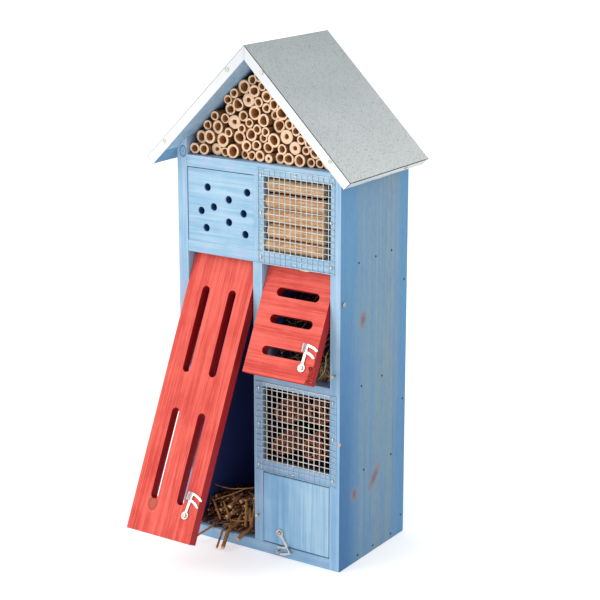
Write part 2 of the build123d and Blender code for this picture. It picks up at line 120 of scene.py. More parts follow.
class MetalSettings(bpy.types.PropertyGroup):
    """Roof sheet, wire, latches and nails."""
    sheet: tint("Sheet", "Galvanised roof sheet", "E0E6E6")
    # painted light: the folds over the front and rear are a brighter, less speckled copy of the sheet
    sheet_fold_painted_light: tint("Sheet folds", "The smooth folds of the roof sheet", "FAFBFC")
    wire_upper: tint("Upper mesh", "Galvanised wire of the upper mesh", "C9D3D8")
    wire_lower: tint("Lower mesh", "Galvanised wire of the lower mesh", "E6E2D6")
    zinc: tint("Zinc", "Bright zinc plate of the latches and staples", "D6D7D7")
    brass: tint("Brass", "Brass of the catch pins and one screw", "CDC5AC")
    sheet_gauge: size("Sheet gauge", "Thickness of the roof sheet", 0.5)
    crinkle: size("Crinkle", "How unevenly the eave folds are hammered over", 0.7)
    wire: size("Wire", "Diameter of the mesh wire", 0.85)
    mesh_pitch: size("Mesh pitch", "Centre to centre of the mesh wires", 6.35)
    staple_wire: size("Staple wire", "Diameter of the staple wire", 1.15)


class FillingSettings(bpy.types.PropertyGroup):
    """Bamboo, logs, cones, brushwood and grass."""
    cane_skin: tint("Cane skin", "Outside of the dried bamboo", "96623A")
    cane_cut: tint("Cane cut", "Fresh sawn wall of the bamboo", "EECDAE")
    cane_bore: tint("Cane bore", "Dry pith inside the bamboo", "DDA064")
    log_light: tint("Log, pale", "Pale wood of the peeled logs", "E2B98E")
    log_deep: tint("Log, dark", "Darker fibres of the peeled logs", "A67A4E")
    cone_scale: tint("Cone scale", "Woody scales of the pine cones", "5E2C1E")
    cone_tip: tint("Cone tip", "Weathered tips of the cone scales", "B67150")
    bark: tint("Bark", "Bark of the twigs", "623F29")
    twig_cut: tint("Twig cut", "Snapped ends of the twigs", "E2C096")
    grass: tint("Grass", "Dry grass", "C2A878")
    twigs: bpy.props.IntProperty(name="Twigs", description="Twigs in the tall bay", default=560, min=1)
    strands: bpy.props.IntProperty(name="Grass strands", description="Strands of grass in the small bay",
                                   default=320, min=1)
    cone_scales: bpy.props.IntProperty(name="Cone scales", description="Scales on each pine cone",
                                       default=96, min=20)


class StageSettings(bpy.types.PropertyGroup):
    """Floor, light and camera."""
    floor: tint("Floor", "Pale floor and backdrop", "F7F7F7")
    floor_glow: bpy.props.FloatProperty(name="Floor glow", default=0.34, min=0,
                                        description="Light that the floor gives by itself")
    sky: bpy.props.FloatProperty(name="Sky", description="Strength of the even light all round",
                                 default=0.86, min=0)
    key: bpy.props.FloatProperty(name="Key light", description="Power of the large light at the front left",
                                 unit="POWER", default=22, min=0)
    floor_size: size("Floor size", "Length of the floor's sides", 60000)
    lens: bpy.props.FloatProperty(name="Lens", description="Focal length of the camera",
                                  unit="CAMERA", default=102.03)
    heading: bpy.props.FloatProperty(name="Heading", subtype="ANGLE", default=0.585,
                                     description="How far the camera stands round to the right")
    dip: bpy.props.FloatProperty(name="Dip", description="How far the camera looks down",
                                 subtype="ANGLE", default=0.2557)


# ---------------------------------------------------------------- nodes and materials
def add(tree, kind, inputs=None, stops=(), **settings):
    """A node with its settings, its colour stops, and its inputs set to values or linked from sockets."""
    made = tree.nodes.new(kind)
    for name, value in settings.items():
        setattr(made, name, value)
    for key, value in (inputs or {}).items():
        if isinstance(value, bpy.types.NodeSocket):
            tree.links.new(value, made.inputs[key])
        else:
            made.inputs[key].default_value = value
    for index, (place, shade) in enumerate(stops):
        elements = made.color_ramp.elements
        element = elements[index] if index < 2 else elements.new(place)
        element.position = place
        element.color = shade if len(shade) == 4 else (*shade, 1)
    return made


def material(name, surface):
    """A new material with a Principled shader: returns it, its tree and the shader."""
    made = bpy.data.materials.new(name)
    made.use_nodes = True
    tree = made.node_tree
    tree.nodes.clear()
    shader = add(tree, "ShaderNodeBsdfPrincipled", surface)
    add(tree, "ShaderNodeOutputMaterial", {"Surface": shader.outputs[0]})
    return made, tree, shader


def shaded(tree, factor, first, second, blend="MIX"):
    """Two colours mixed by a factor: the socket of the result."""
    first = first if isinstance(first, bpy.types.NodeSocket) else (*first, 1)
    second = second if isinstance(second, bpy.types.NodeSocket) else (*second, 1)
    mixed = add(tree, "ShaderNodeMix", {0: factor, 6: first, 7: second}, data_type="RGBA", blend_type=blend)
    return mixed.outputs[2]


def multiplied(tree, colour, code):
    """A colour multiplied by an sRGB hex tint: the socket of the result."""
    return shaded(tree, 1.0, colour, linear(code), "MULTIPLY")


def maths(tree, operation, *values):
    """One sum on numbers or sockets: the socket of the result."""
    return add(tree, "ShaderNodeMath", dict(enumerate(values)), operation=operation).outputs[0]


def spread(tree, value, start, end, top=1.0):
    """0 where a value is at start, rising to top at end, and held at both: the socket of the result."""
    limits = {"Value": value, "From Min": start, "From Max": end, "To Max": top}
    return add(tree, "ShaderNodeMapRange", limits).outputs[0]


def relief(tree, shader, height, depth, strength=1.0):
    """Gives a shader the bump of a height socket, depth metres high."""
    bump = add(tree, "ShaderNodeBump", {"Height": height, "Distance": depth, "Strength": strength})
    tree.links.new(bump.outputs[0], shader.inputs["Normal"])


def cloud(tree, place, millimetres, detail=2.0, roughness=0.5, distortion=0.0):
    """Noise whose lumps are that many millimetres across along each axis."""
    scale = [1 / (m * MM) for m in millimetres]
    mapped = add(tree, "ShaderNodeMapping", {"Vector": place, "Scale": scale})
    return add(tree, "ShaderNodeTexNoise", {"Vector": mapped.outputs[0], "Scale": 1.0, "Detail": detail,
                                            "Roughness": roughness, "Distortion": distortion}).outputs[0]


def spot(tree, colour, place, centre, radii, stops, waver=0.25, lean=0.0):
    """Paints an oval mark on a colour, leaning back by an angle. Stops run from its centre, 0, to its
    edge, 1, with alpha."""
    away = add(tree, "ShaderNodeVectorMath", {0: place, 1: centre}, operation="SUBTRACT").outputs[0]
    if lean:
        away = add(tree, "ShaderNodeVectorRotate", {"Vector": away, "Angle": lean},
                   rotation_type="X_AXIS").outputs[0]
    scaled = add(tree, "ShaderNodeVectorMath", {0: away, 1: radii}, operation="DIVIDE").outputs[0]
    distance = add(tree, "ShaderNodeVectorMath", {0: scaled}, operation="LENGTH").outputs["Value"]
    ripple = cloud(tree, place, (3, 3, 3))
    rough = maths(tree, "MULTIPLY_ADD", ripple, waver, distance)
    rough = maths(tree, "SUBTRACT", rough, waver / 2)
    ramp = add(tree, "ShaderNodeValToRGB", {"Fac": rough}, stops=stops)
    return shaded(tree, ramp.outputs[1], colour, ramp.outputs[0])


def as_shut(tree, hinge):
    """Object coordinates, and normals, turned back to how they lie with a door shut."""
    texture = add(tree, "ShaderNodeTexCoord")
    if hinge is None:
        return texture.outputs["Object"], texture.outputs["Normal"]
    pivot, angle = hinge
    shift = pivot - Matrix.Rotation(angle, 3, "X") @ pivot
    place = add(tree, "ShaderNodeMapping", {"Vector": texture.outputs["Object"], "Location": shift,
                                            "Rotation": (angle, 0, 0)})
    normal = add(tree, "ShaderNodeMapping", {"Vector": texture.outputs["Normal"], "Rotation": (angle, 0, 0)},
                 vector_type="VECTOR")
    return place.outputs[0], normal.outputs[0]


def pine(name, grain, light, deep, hinge=None):
    """Planed pine dipped in stain, satin: fine lines of growth rings run along the grain, and cloudy
    patches show where the wood drank more stain. Returns what the callers paint on."""
    stain = bpy.context.scene.insect_hotel_stain
    made, tree, shader = material(name, {"Roughness": 0.58, "Specular IOR Level": 0.3})
    place, normal = as_shut(tree, hinge)
    width, length = stain.grain_width / MM, stain.grain_length / MM
    along = {"X": (1, 0, 0), "Y": (0, 1, 0), "Z": (0, 0, 1)}[grain]
    fine = cloud(tree, place, [length if a else width for a in along], 4, 0.6, 0.4)
    rings = cloud(tree, place, [2.6 * length if a else 5 * width for a in along], 2, 0.55, 0.8)
    patch = cloud(tree, place, [34, 34, 34], 3, 0.6)
    lines = maths(tree, "MULTIPLY_ADD", rings, 1.1, fine)
    total = maths(tree, "MULTIPLY_ADD", patch, 0.8, lines)
    share = spread(tree, total, 1.18, 1.72)
    colour = shaded(tree, share, deep, light)
    relief(tree, shader, lines, 0.12 * MM, 0.6)
    return made, tree, shader, colour, place, normal


def fade(tree, place, axis, start, end):
    """0 before start and 1 past end, along one axis of a place."""
    split = add(tree, "ShaderNodeSeparateXYZ", {0: place}).outputs[axis]
    return add(tree, "ShaderNodeMapRange", {"Value": split, "From Min": start, "From Max": end},
               interpolation_type="SMOOTHSTEP").outputs[0]


def outside(tree, place):
    """1 on the outer faces of the side walls and on the rear, 0 elsewhere."""
    split = add(tree, "ShaderNodeSeparateXYZ", {0: place})
    wide = maths(tree, "ABSOLUTE", split.outputs["X"])
    side = maths(tree, "GREATER_THAN", wide, WALL_HIGH.x - 0.3 * MM)
    rear = maths(tree, "GREATER_THAN", split.outputs["Y"], WALL_HIGH.y - 0.3 * MM)
    return maths(tree, "MAXIMUM", side, rear)


def blue_pine(name, grain, depth=26.0):
    """Blue-stained pine of the body: brighter towards the top of the front, darkening to deep blue inside
    the bays and nearly black in the cone bay as painted shade, darker outside as painted shade and
    streaked grey there by the weather, with brown knots."""
    stain = bpy.context.scene.insect_hotel_stain
    made, tree, shader, colour, place, _ = pine(name, grain, stain.blue_light, stain.blue_deep)
    # darker towards the bottom
    low = fade(tree, place, "Z", 0.40, 0.02)
    colour = shaded(tree, low, colour, multiplied(tree, colour, "E2ECF6"))
    mauve = spread(tree, cloud(tree, place, (14, 14, 90), 2), 0.5, 0.75, 0.55)
    colour = shaded(tree, mauve, colour, linear("A9AFC9"))
    # painted shade: the inside of the bays darkens to deep blue with depth from the front
    inward = fade(tree, place, "Y", FRONT + 1.0 * MM, FRONT + depth * MM)
    colour = shaded(tree, inward, colour, stain.navy_painted_shade)
    # painted shade: the bay of pine cones behind the lower mesh darkens nearly to black
    dim = fade(tree, place, "Y", FRONT + 0.6 * MM, FRONT + 9 * MM)
    bay_foot, bay_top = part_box("lower_shelf")[1].z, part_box("middle_shelf")[0].z
    for axis, low, high in (("X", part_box("lower_divider")[0].x + 2 * MM, INNER_X + 1 * MM),
                            ("Z", bay_foot - 1 * MM, bay_top + 1 * MM)):
        for start, end in ((low - 0.2 * MM, low), (high + 0.2 * MM, high)):
            dim = maths(tree, "MULTIPLY", fade(tree, place, axis, start, end), dim)
    colour = shaded(tree, dim, colour, linear("1B2036"))
    # outside faces: a darker blue as painted shade, then broad zones across the board, then thin bare
    # streaks
    streak = cloud(tree, place, (3.2, 3.2, 260), 3, 0.6)
    back_from_front = add(tree, "ShaderNodeSeparateXYZ", {0: place}).outputs["Y"]
    zone = maths(tree, "MULTIPLY_ADD", cloud(tree, place, (22, 22, 120), 2), 24 * MM, back_from_front)
    zone = spread(tree, zone, FRONT + 12 * MM, WALL_HIGH.y + 12 * MM)
    bare = add(tree, "ShaderNodeValToRGB", {"Fac": zone}, stops=[
        (0.0, (0.0,) * 3), (0.16, (0.1,) * 3), (0.3, (0.6,) * 3), (0.5, (0.65,) * 3),
        (0.72, (0.95,) * 3), (0.82, (0.5,) * 3), (0.9, (0.0,) * 3)]).outputs[0]
    greyed = spread(tree, streak, 0.24, 0.6)
    greyed = maths(tree, "MULTIPLY", greyed, bare)
    weathered_and_shaded = shaded(tree, greyed, stain.blue_side_painted_shade, stain.grey_side)
    hairline = spread(tree, cloud(tree, place, (1.1, 1.1, 190), 3, 0.6), 0.58, 0.7, 0.5)
    weathered_and_shaded = shaded(tree, hairline, weathered_and_shaded, multiplied(tree, weathered_and_shaded, "B4BFCC"))
    violet = spread(tree, cloud(tree, place, (30, 30, 55), 4, 0.65), 0.52, 0.72, 0.3)
    weathered_and_shaded = shaded(tree, violet, weathered_and_shaded, linear("5A82BE"))
    dusk = maths(tree, "MULTIPLY", fade(tree, place, "Y", FRONT + 46 * MM, FRONT + 4 * MM),
                 fade(tree, place, "Z", 0.36, 0.06))
    weathered_and_shaded = shaded(tree, dusk, weathered_and_shaded, multiplied(tree, weathered_and_shaded, "B4CBE0"))
    weathered_and_shaded = shaded(tree, fade(tree, place, "Z", 0.42, 0.0), weathered_and_shaded,
                       multiplied(tree, weathered_and_shaded, "E2EAF0"))
    mottle = spread(tree, cloud(tree, place, (2.4, 2.4, 9), 4, 0.7), 0.45, 0.75, 0.4)
    weathered_and_shaded = shaded(tree, mottle, weathered_and_shaded, multiplied(tree, weathered_and_shaded, "B9CCDD"))
    knot_stops = [(0.0, (*linear("7C5F62"), 0.9)), (0.22, (*linear("5F5A6C"), 0.85)),
                  (0.34, (*stain.knot, 0.75)), (0.6, (*stain.knot, 0.4)), (1.0, (*linear("8D9AA6"), 0.0))]
    side_x = WALL_HIGH.x
    knots = ((42, 256, 9, 13, 0.2), (67, 82, 8.5, 23, 0.72), (28, 75, 9, 10.5, 0.0))
    for back, up, wide, tall, lean in knots:
        weathered_and_shaded = spot(tree, weathered_and_shaded, place, (side_x, FRONT + back * MM, up * MM),
                         (20 * MM, wide * MM, tall * MM), knot_stops, 0.5, lean)
    colour = shaded(tree, outside(tree, place), colour, weathered_and_shaded)
    # a knot under the left eave, and a dot of bare wood on the right front corner
    ring = [(0.0, (*linear("1E3A5A"), 0.95)), (0.2, (*linear("7FA3C0"), 0.8)),
            (0.74, (*linear("7BA0BE"), 0.75)), (0.86, (*linear("2C4A68"), 0.95)),
            (0.94, (*linear("2C4A68"), 0.9)), (1.0, (*linear("3F6388"), 0.0))]
    colour = spot(tree, colour, place, (-90.7 * MM, FRONT, 412.9 * MM),
                  (4.4 * MM, 3 * MM, 6.2 * MM), ring, 0.1)
    dot = [(0.0, (*linear("F2B266"), 1.0)), (0.7, (*linear("E09A50"), 0.9)),
           (1.0, (*linear("E09A50"), 0.0))]
    colour = spot(tree, colour, place, (side_x, FRONT, 137 * MM), (2.0 * MM, 2.0 * MM, 2.4 * MM), dot)
    tree.links.new(colour, shader.inputs["Base Color"])
    return made


def plain_blue_pine(name, grain, hinge=None, holes_from=None):
    """Blue-stained pine of the drilled block and the plain door: even, without the walls' darker outside and
    grey streaks, and with painted shade inside the block's holes.
    """
    stain = bpy.context.scene.insect_hotel_stain
    made, tree, shader, colour, place, _ = pine(name, grain, stain.blue_light, stain.blue_deep, hinge)
    if holes_from is None:
        warm = fade(tree, place, "X", 20 * MM, 84 * MM)
        glow = shaded(tree, warm, linear("DDF2FF"), linear("FFFFFF"))
        colour = shaded(tree, 1.0, colour, glow, "MULTIPLY")
    else:
        # painted shade: the drilled holes darken to deep blue just inside their mouths
        inward = fade(tree, place, "Y", holes_from + 0.4 * MM, holes_from + 2.5 * MM)
        colour = shaded(tree, inward, colour, linear("2B5390"))
    tree.links.new(colour, shader.inputs["Base Color"])
    return made


def red_pine(name, grain, hinge, spots=()):
    """Red-stained pine of the slotted doors: bright streaked faces, with sawn edges and slots darkened
    as painted shade."""
    stain = bpy.context.scene.insect_hotel_stain
    made, tree, shader, colour, place, normal = pine(name, grain, stain.red_light, stain.red_deep, hinge)
    for centre, radii, stops in spots:
        colour = spot(tree, colour, place, centre, radii, stops, 0.2)
    crack = cloud(tree, place, [46 if a == grain else 0.75 for a in "XYZ"], 4, 0.75, 0.6)
    crack = spread(tree, crack, 0.39, 0.3, 0.75)
    colour = shaded(tree, crack, colour, linear("A02824"))
    raised = cloud(tree, place, [30 if a == grain else 0.9 for a in "XYZ"], 3, 0.7, 0.4)
    raised = spread(tree, raised, 0.58, 0.72, 0.5)
    colour = shaded(tree, raised, colour, linear("F79486"))
    pores = cloud(tree, place, [5 if a == grain else 0.6 for a in "XYZ"], 3, 0.7)
    pores = spread(tree, pores, 0.5, 0.72, 0.35)
    colour = shaded(tree, pores, colour, linear("D84C42"))
    # painted shade: faces not turned to the front, the sawn edges and slot walls, take the dark red
    facing = add(tree, "ShaderNodeSeparateXYZ", {0: normal}).outputs["Y"]
    facing = maths(tree, "ABSOLUTE", facing)
    face = spread(tree, facing, 0.35, 0.9)
    colour = shaded(tree, face, stain.red_edge_painted_shade, colour)
    tree.links.new(colour, shader.inputs["Base Color"])
    return made


def galvanised_sheet(name, base, speckle, roughness):
    """Hot-dip galvanised steel sheet, dull: a fine mottle of grey specks, finer than the spangle of
    thick coatings, and soft smears from the rolling mill."""
    made, tree, shader = material(name, {"Metallic": 0.35, "Roughness": roughness})
    place = add(tree, "ShaderNodeTexCoord").outputs["Object"]
    specks = cloud(tree, place, (1.7, 1.7, 1.7), 3, 0.8)
    smears = cloud(tree, place, (38, 70, 38), 3, 0.5)
    dark = spread(tree, specks, 0.45, 0.33, speckle)
    colour = shaded(tree, fade(tree, place, "Z", 0.36, 0.54), base, multiplied(tree, base, "D0D3D6"))
    colour = shaded(tree, dark, colour, linear("59615F"))
    worn = spread(tree, smears, 0.35, 0.7, 0.35)
    colour = shaded(tree, worn, colour, multiplied(tree, colour, "E3E9E6"))
    tree.links.new(colour, shader.inputs["Base Color"])
    relief(tree, shader, specks, 0.03 * MM, 0.5)
    return made


def plated_wire(name, base, roughness=0.42):
    """Galvanised steel wire: pale, uneven zinc with a few duller patches."""
    made, tree, shader = material(name, {"Metallic": 0.25, "Roughness": roughness})
    place = add(tree, "ShaderNodeTexCoord").outputs["Object"]
    patches = cloud(tree, place, (4, 4, 4), 3, 0.6)
    dull = spread(tree, patches, 0.45, 0.75)
    tree.links.new(shaded(tree, dull, base, linear("9AA09E")), shader.inputs["Base Color"])
    relief(tree, shader, patches, 0.05 * MM, 0.4)
    return made


def stained_over(made, shelf_top, bay_left, bay_right, share):
    """Tints a wire finish blue where the wires lie against stained wood, as they were brushed over."""
    tree = made.node_tree
    shader = next(n for n in tree.nodes if n.type == "BSDF_PRINCIPLED")
    colour = shader.inputs["Base Color"].links[0].from_socket
    place = add(tree, "ShaderNodeTexCoord").outputs["Object"]
    low = fade(tree, place, "Z", shelf_top + 1 * MM, shelf_top - 1 * MM)
    left = fade(tree, place, "X", bay_left + 0.5 * MM, bay_left - 0.5 * MM)
    right = fade(tree, place, "X", bay_right - 0.5 * MM, bay_right + 0.5 * MM)
    wood = maths(tree, "MAXIMUM", low, left)
    wood = maths(tree, "MAXIMUM", wood, right)
    wood = maths(tree, "MULTIPLY", wood, share)
    tree.links.new(shaded(tree, wood, colour, linear("8FB0CE")), shader.inputs["Base Color"])


def polished_metal(name, base, tarnish, roughness, metallic=1.0):
    """Stamped or turned metal with a bright finish that is slightly clouded by handling."""
    made, tree, shader = material(name, {"Metallic": metallic, "Roughness": roughness})
    place = add(tree, "ShaderNodeTexCoord").outputs["Object"]
    clouds = cloud(tree, place, (2.2, 2.2, 2.2), 3, 0.6)
    dull = spread(tree, clouds, 0.45, 0.8)
    tree.links.new(shaded(tree, dull, base, tarnish), shader.inputs["Base Color"])
    relief(tree, shader, clouds, 0.04 * MM, 0.3)
    return made


def fibrous(name, light, deep, sizes, depth=0.15, contrast=(0.35, 0.68), roughness=0.8, scratch=None):
    """Dry plant matter, unfinished: matt, with lighter and darker fibres that run along it."""
    made, tree, shader = material(name, {"Roughness": roughness, "Specular IOR Level": 0.2})
    place = add(tree, "ShaderNodeTexCoord").outputs["Object"]
    fibres = cloud(tree, place, sizes, 4, 0.65, 0.3)
    share = spread(tree, fibres, contrast[0], contrast[1])
    colour = shaded(tree, share, deep, light)
    if scratch:
        marks = cloud(tree, place, scratch, 3, 0.7)
        scar = spread(tree, marks, 0.56, 0.7, 0.5)
        colour = shaded(tree, scar, colour, deep)
    tree.links.new(colour, shader.inputs["Base Color"])
    relief(tree, shader, fibres, depth * MM, 0.7)
    return made


# ---------------------------------------------------------------- meshes
def place_piece(name, vertices, faces, kinds, materials, body, replaced=()):
    """A new mesh piece: kinds gives each face's material, and it rides on a body."""
    mesh = bpy.data.meshes.new(name)
    mesh.from_pydata([tuple(v) for v in vertices], [], faces)
    for made in materials:
        mesh.materials.append(made)
    mesh.polygons.foreach_set("material_index", list(kinds) if len(materials) > 1 else [0] * len(faces))
    mesh.shade_smooth()
    mesh.update()
    piece = bpy.data.objects.new(name, mesh)
    bpy.context.scene.collection.objects.link(piece)
    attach(piece, body)
    if replaced:
        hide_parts(*replaced)
    return piece


def wander(place):
    """A smooth shift in any direction that is the same on each run: the noise read at three fixed
    places. mathutils' own noise_vector starts differently each time."""
    return Vector([noise.noise(place + Vector(shift)) for shift in WANDER_SHIFTS])


class Heap:
    """Vertices, faces and face kinds of many shapes that become one piece."""

    def __init__(self):
        self.vertices, self.faces, self.kinds = [], [], []

    def rings(self, rings, kinds, closed=False, capped=True, cap_kind=None):
        """Joins rings of points by quads. kinds has one entry for each gap between rings."""
        count = len(rings[0])
        first = len(self.vertices)
        for ring in rings:
            self.vertices.extend(ring)
        gaps = len(rings) if closed else len(rings) - 1
        for gap in range(gaps):
            a = first + gap * count
            b = first + (gap + 1) % len(rings) * count
            for i in range(count):
                j = (i + 1) % count
                self.faces.append((a + i, a + j, b + j, b + i))
                self.kinds.append(kinds[gap])
        if capped and not closed:
            last = first + (len(rings) - 1) * count
            self.faces.append(tuple(range(first + count - 1, first - 1, -1)))
            self.faces.append(tuple(range(last, last + count)))
            self.kinds.extend([kinds[0] if cap_kind is None else cap_kind] * 2)

    def grid(self, rows, kind=0):
        """Joins rows of points, each as long, by quads."""
        first = len(self.vertices)
        width = len(rows[0])
        for row in rows:
            self.vertices.extend(row)
        for r in range(len(rows) - 1):
            for c in range(width - 1):
                a = first + r * width + c
                self.faces.append((a, a + 1, a + width + 1, a + width))
                self.kinds.append(kind)

    def rod(self, path, radii, sides=7, kind=0, cap_kind=None):
        """A bar of changing radius along a path of points, its end caps of a kind of their own."""
        path = [Vector(p) for p in path]
        tangent = (path[1] - path[0]).normalized()
        across = tangent.orthogonal().normalized()
        rings = []
        for index, point in enumerate(path):
            ahead = path[min(index + 1, len(path) - 1)] - path[max(index - 1, 0)]
            turn = tangent.rotation_difference(ahead.normalized())
            across = (turn @ across).normalized()
            tangent = ahead.normalized()
            up = tangent.cross(across)
            radius = radii[index] if hasattr(radii, "__len__") else radii
            ring = []
            for k in range(sides):
                angle = 2 * math.pi * k / sides
                ring.append(point + (across * math.cos(angle) + up * math.sin(angle)) * radius)
            rings.append(ring)
        self.rings(rings, [kind] * (len(rings) - 1), cap_kind=cap_kind)

    def build(self, name, materials, body, replaced=()):
        """The heap as one piece."""
        return place_piece(name, self.vertices, self.faces, self.kinds, materials, body, replaced)


def ease(node, width, segments=2, angle=35, edge_finish=-1):
    """Rounds the sawn or stamped edges of a CAD node by modifiers, and evens its shading. The rounded
    edges can have a finish of their own, by its number among the node's materials."""
    piece = frame["nodes"][node]
    piece.modifiers.new("join", "WELD").merge_threshold = WELD
    bevel = piece.modifiers.new("edges", "BEVEL")
    bevel.width = width
    bevel.segments = segments
    bevel.limit_method = "ANGLE"
    bevel.angle_limit = math.radians(angle)
    bevel.use_clamp_overlap = True
    bevel.material = edge_finish
    piece.modifiers.new("shading", "WEIGHTED_NORMAL")
    return piece


def paint(piece, *materials):
    """Gives a carried-over CAD node its material."""
    piece.data.materials.clear()
    for made in materials:
        piece.data.materials.append(made)


def face_outwards(mesh, weld=0.0):
    """Joins the points of a mesh that lie within weld metres, and turns its faces outwards."""
    work = bmesh.new()
    work.from_mesh(mesh)
    if weld:
        bmesh.ops.remove_doubles(work, verts=work.verts, dist=weld)
    bmesh.ops.recalc_face_normals(work, faces=work.faces)
    work.to_mesh(mesh)
    work.free()


def solids(node):
    """The separate solids of a CAD node, each as an array of its points, in their own order."""
    mesh = bmesh.new()
    mesh.from_mesh(frame["nodes"][node].data)
    bmesh.ops.remove_doubles(mesh, verts=mesh.verts, dist=WELD)
    seen = set()
    found = []
    for start in mesh.verts:
        if start in seen:
            continue
        seen.add(start)
        group, queue = [], [start]
        while queue:
            vertex = queue.pop()
            group.append(tuple(vertex.co))
            for edge in vertex.link_edges:
                other = edge.other_vert(vertex)
                if other not in seen:
                    seen.add(other)
                    queue.append(other)
        found.append(np.array(group))
    mesh.free()
    return found


def hinge_of(name):
    """A door's pivot point and the angle that it stands open at rest, for as_shut."""
    joint = next(j for j in frame["joints"] if j["name"] == name)
    return Vector(joint["pos_m"]), math.radians(-joint["range_deg"][0])


# ---------------------------------------------------------------- operators
class HOTEL_OT_boards(bpy.types.Operator):
    """Stain the boards of the body and ease their edges"""
    bl_idname = "insect_hotel.boards"
    bl_label = "Boards"

    def execute(self, context):
        radius = context.scene.insect_hotel_stain.edge_radius
        finishes = {"upright": blue_pine("blue_stained_pine_upright", "Z"),
                    "level": blue_pine("blue_stained_pine_level", "X")}
        for way, nodes in BOARD_NODES.items():
            for node in nodes:
                paint(ease(node, radius), finishes[way])
        self.splinter()
        return {"FINISHED"}

    def splinter(self):
        """A thin splinter that has lifted from the lower edge of the upper shelf."""
        bare = fibrous("bare_pine_splinter", linear("EBDDBB"), linear("BFA982"), (9, 0.5, 0.5), 0.05)
        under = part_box("upper_shelf")[0].z
        heap = Heap()
        rings = []
        length, steps = 21 * MM, 12
        for s in range(steps + 1):
            t = s / steps
            x = 46 * MM + length * t
            sag = 1.5 * MM * math.sin(math.pi * t)
            half = 0.12 * MM + 0.42 * MM * math.sin(math.pi * t)
            y = FRONT - 0.3 * MM - 0.5 * sag
            z = under + 0.8 * MM - sag
            rings.append([Vector((x, y - 0.16 * MM, z - half)), Vector((x, y + 0.16 * MM, z - half)),
                          Vector((x, y + 0.16 * MM, z + half)), Vector((x, y - 0.16 * MM, z + half))])
        heap.rings(rings, [0] * steps)
        heap.build("lifted_splinter", [bare], "house")


class HOTEL_OT_block(bpy.types.Operator):
    """Stain the drilled nesting block, with painted shade in its holes"""
    bl_idname = "insect_hotel.block"
    bl_label = "Drilled block"

    def execute(self, context):
        radius = context.scene.insect_hotel_stain.edge_radius
        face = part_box("drilled_block")[0].y
        finish = plain_blue_pine("blue_stained_block", "X", holes_from=face)
        paint(ease("drilled_block", 0.6 * radius), finish)
        return {"FINISHED"}


class HOTEL_OT_doors(bpy.types.Operator):
    """Stain the three doors, with the knot in the tall one and the broken corner of the small one"""
    bl_idname = "insect_hotel.doors"
    bl_label = "Doors"

    def execute(self, context):
        stain = context.scene.insect_hotel_stain
        tall, small = hinge_of("tall_door_swing"), hinge_of("small_door_swing")
        knot = [(0.0, (*linear("B05A48"), 0.95)), (0.5, (*linear("B4503F"), 0.95)),
                (0.78, (*linear("A03A30"), 0.95)), (0.88, (*linear("D8564A"), 0.6)),
                (1.0, (*linear("FF8478"), 0.0))]
        centre = (-61 * MM, FRONT, tall[0].z - 231 * MM)
        marks = [(centre, (6.6 * MM, 9 * MM, 9.0 * MM), knot)]
        paint(ease("tall_door", stain.door_edge), red_pine("red_stained_pine_upright", "Z", tall, marks))
        level = red_pine("red_stained_pine_level", "X", small)
        torn = fibrous("torn_red_pine", linear("CE5044"), linear("7A1814"), (7, 1.2, 1.2), 0.3, (0.36, 0.62))
        self.break_corner(small, level, torn, stain)
        paint(ease("lower_door", stain.door_edge), plain_blue_pine("blue_stained_door", "Z"))
        return {"FINISHED"}

    def break_corner(self, hinge, level, torn, stain):
        """The small door again, its lower right corner torn out to a splintered hollow."""
        mesh = frame["nodes"]["small_door"].data.copy()
        mesh.materials.clear()
        mesh.materials.append(level)
        mesh.materials.append(torn)
        door = bpy.data.objects.new("small_door_torn", mesh)
        bpy.context.scene.collection.objects.link(door)
        pivot, angle = hinge
        opened = Matrix.Translation(pivot) @ Matrix.Rotation(-angle, 4, "X") @ Matrix.Translation(-pivot)
        outline = [(87, 213.6), (81.6, 214.2), (79.4, 213.4), (80.3, 211.0), (81.9, 208.2), (80.8, 205.0),
                   (81.4, 202.4), (79.6, 200.2), (79.9, 197.6), (78.1, 194.5), (87, 194.5)]
        heap = Heap()
        rings = []
        for depth, shrink in ((-1.2, 0.0), (1.6, 0.5), (4.2, 2.2)):
            ring = []
            for number, (x, z) in enumerate(outline):
                rough = depth + (0.45 * math.sin(number * 2.3) if depth > 0 else 0.0)
                ring.append(opened @ Vector((x * MM + shrink * MM, FRONT + rough * MM, z * MM)))
            rings.append(ring)
        heap.rings(rings, [1, 1])
        shape = bpy.data.meshes.new("torn_corner")
        shape.from_pydata([tuple(v) for v in heap.vertices], [], heap.faces)
        shape.materials.append(level)
        shape.materials.append(torn)
        shape.polygons.foreach_set("material_index", [1] * len(heap.faces))
        face_outwards(shape)
        cutter = bpy.data.objects.new("torn_corner", shape)
        bpy.context.scene.collection.objects.link(cutter)
        door.modifiers.new("join", "WELD").merge_threshold = WELD
        cut = door.modifiers.new("torn", "BOOLEAN")
        cut.object = cutter
        cut.solver = "EXACT"
        bpy.context.view_layer.update()
        finished = door.evaluated_get(bpy.context.evaluated_depsgraph_get())
        door.data = bpy.data.meshes.new_from_object(finished)
        door.modifiers.clear()
        bpy.data.objects.remove(cutter)
        bevel = door.modifiers.new("edges", "BEVEL")
        bevel.width = stain.door_edge
        bevel.limit_method = "ANGLE"
        bevel.angle_limit = math.radians(50)
        door.modifiers.new("shading", "WEIGHTED_NORMAL")
        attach(door, "small_leaf")
        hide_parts("small_door")


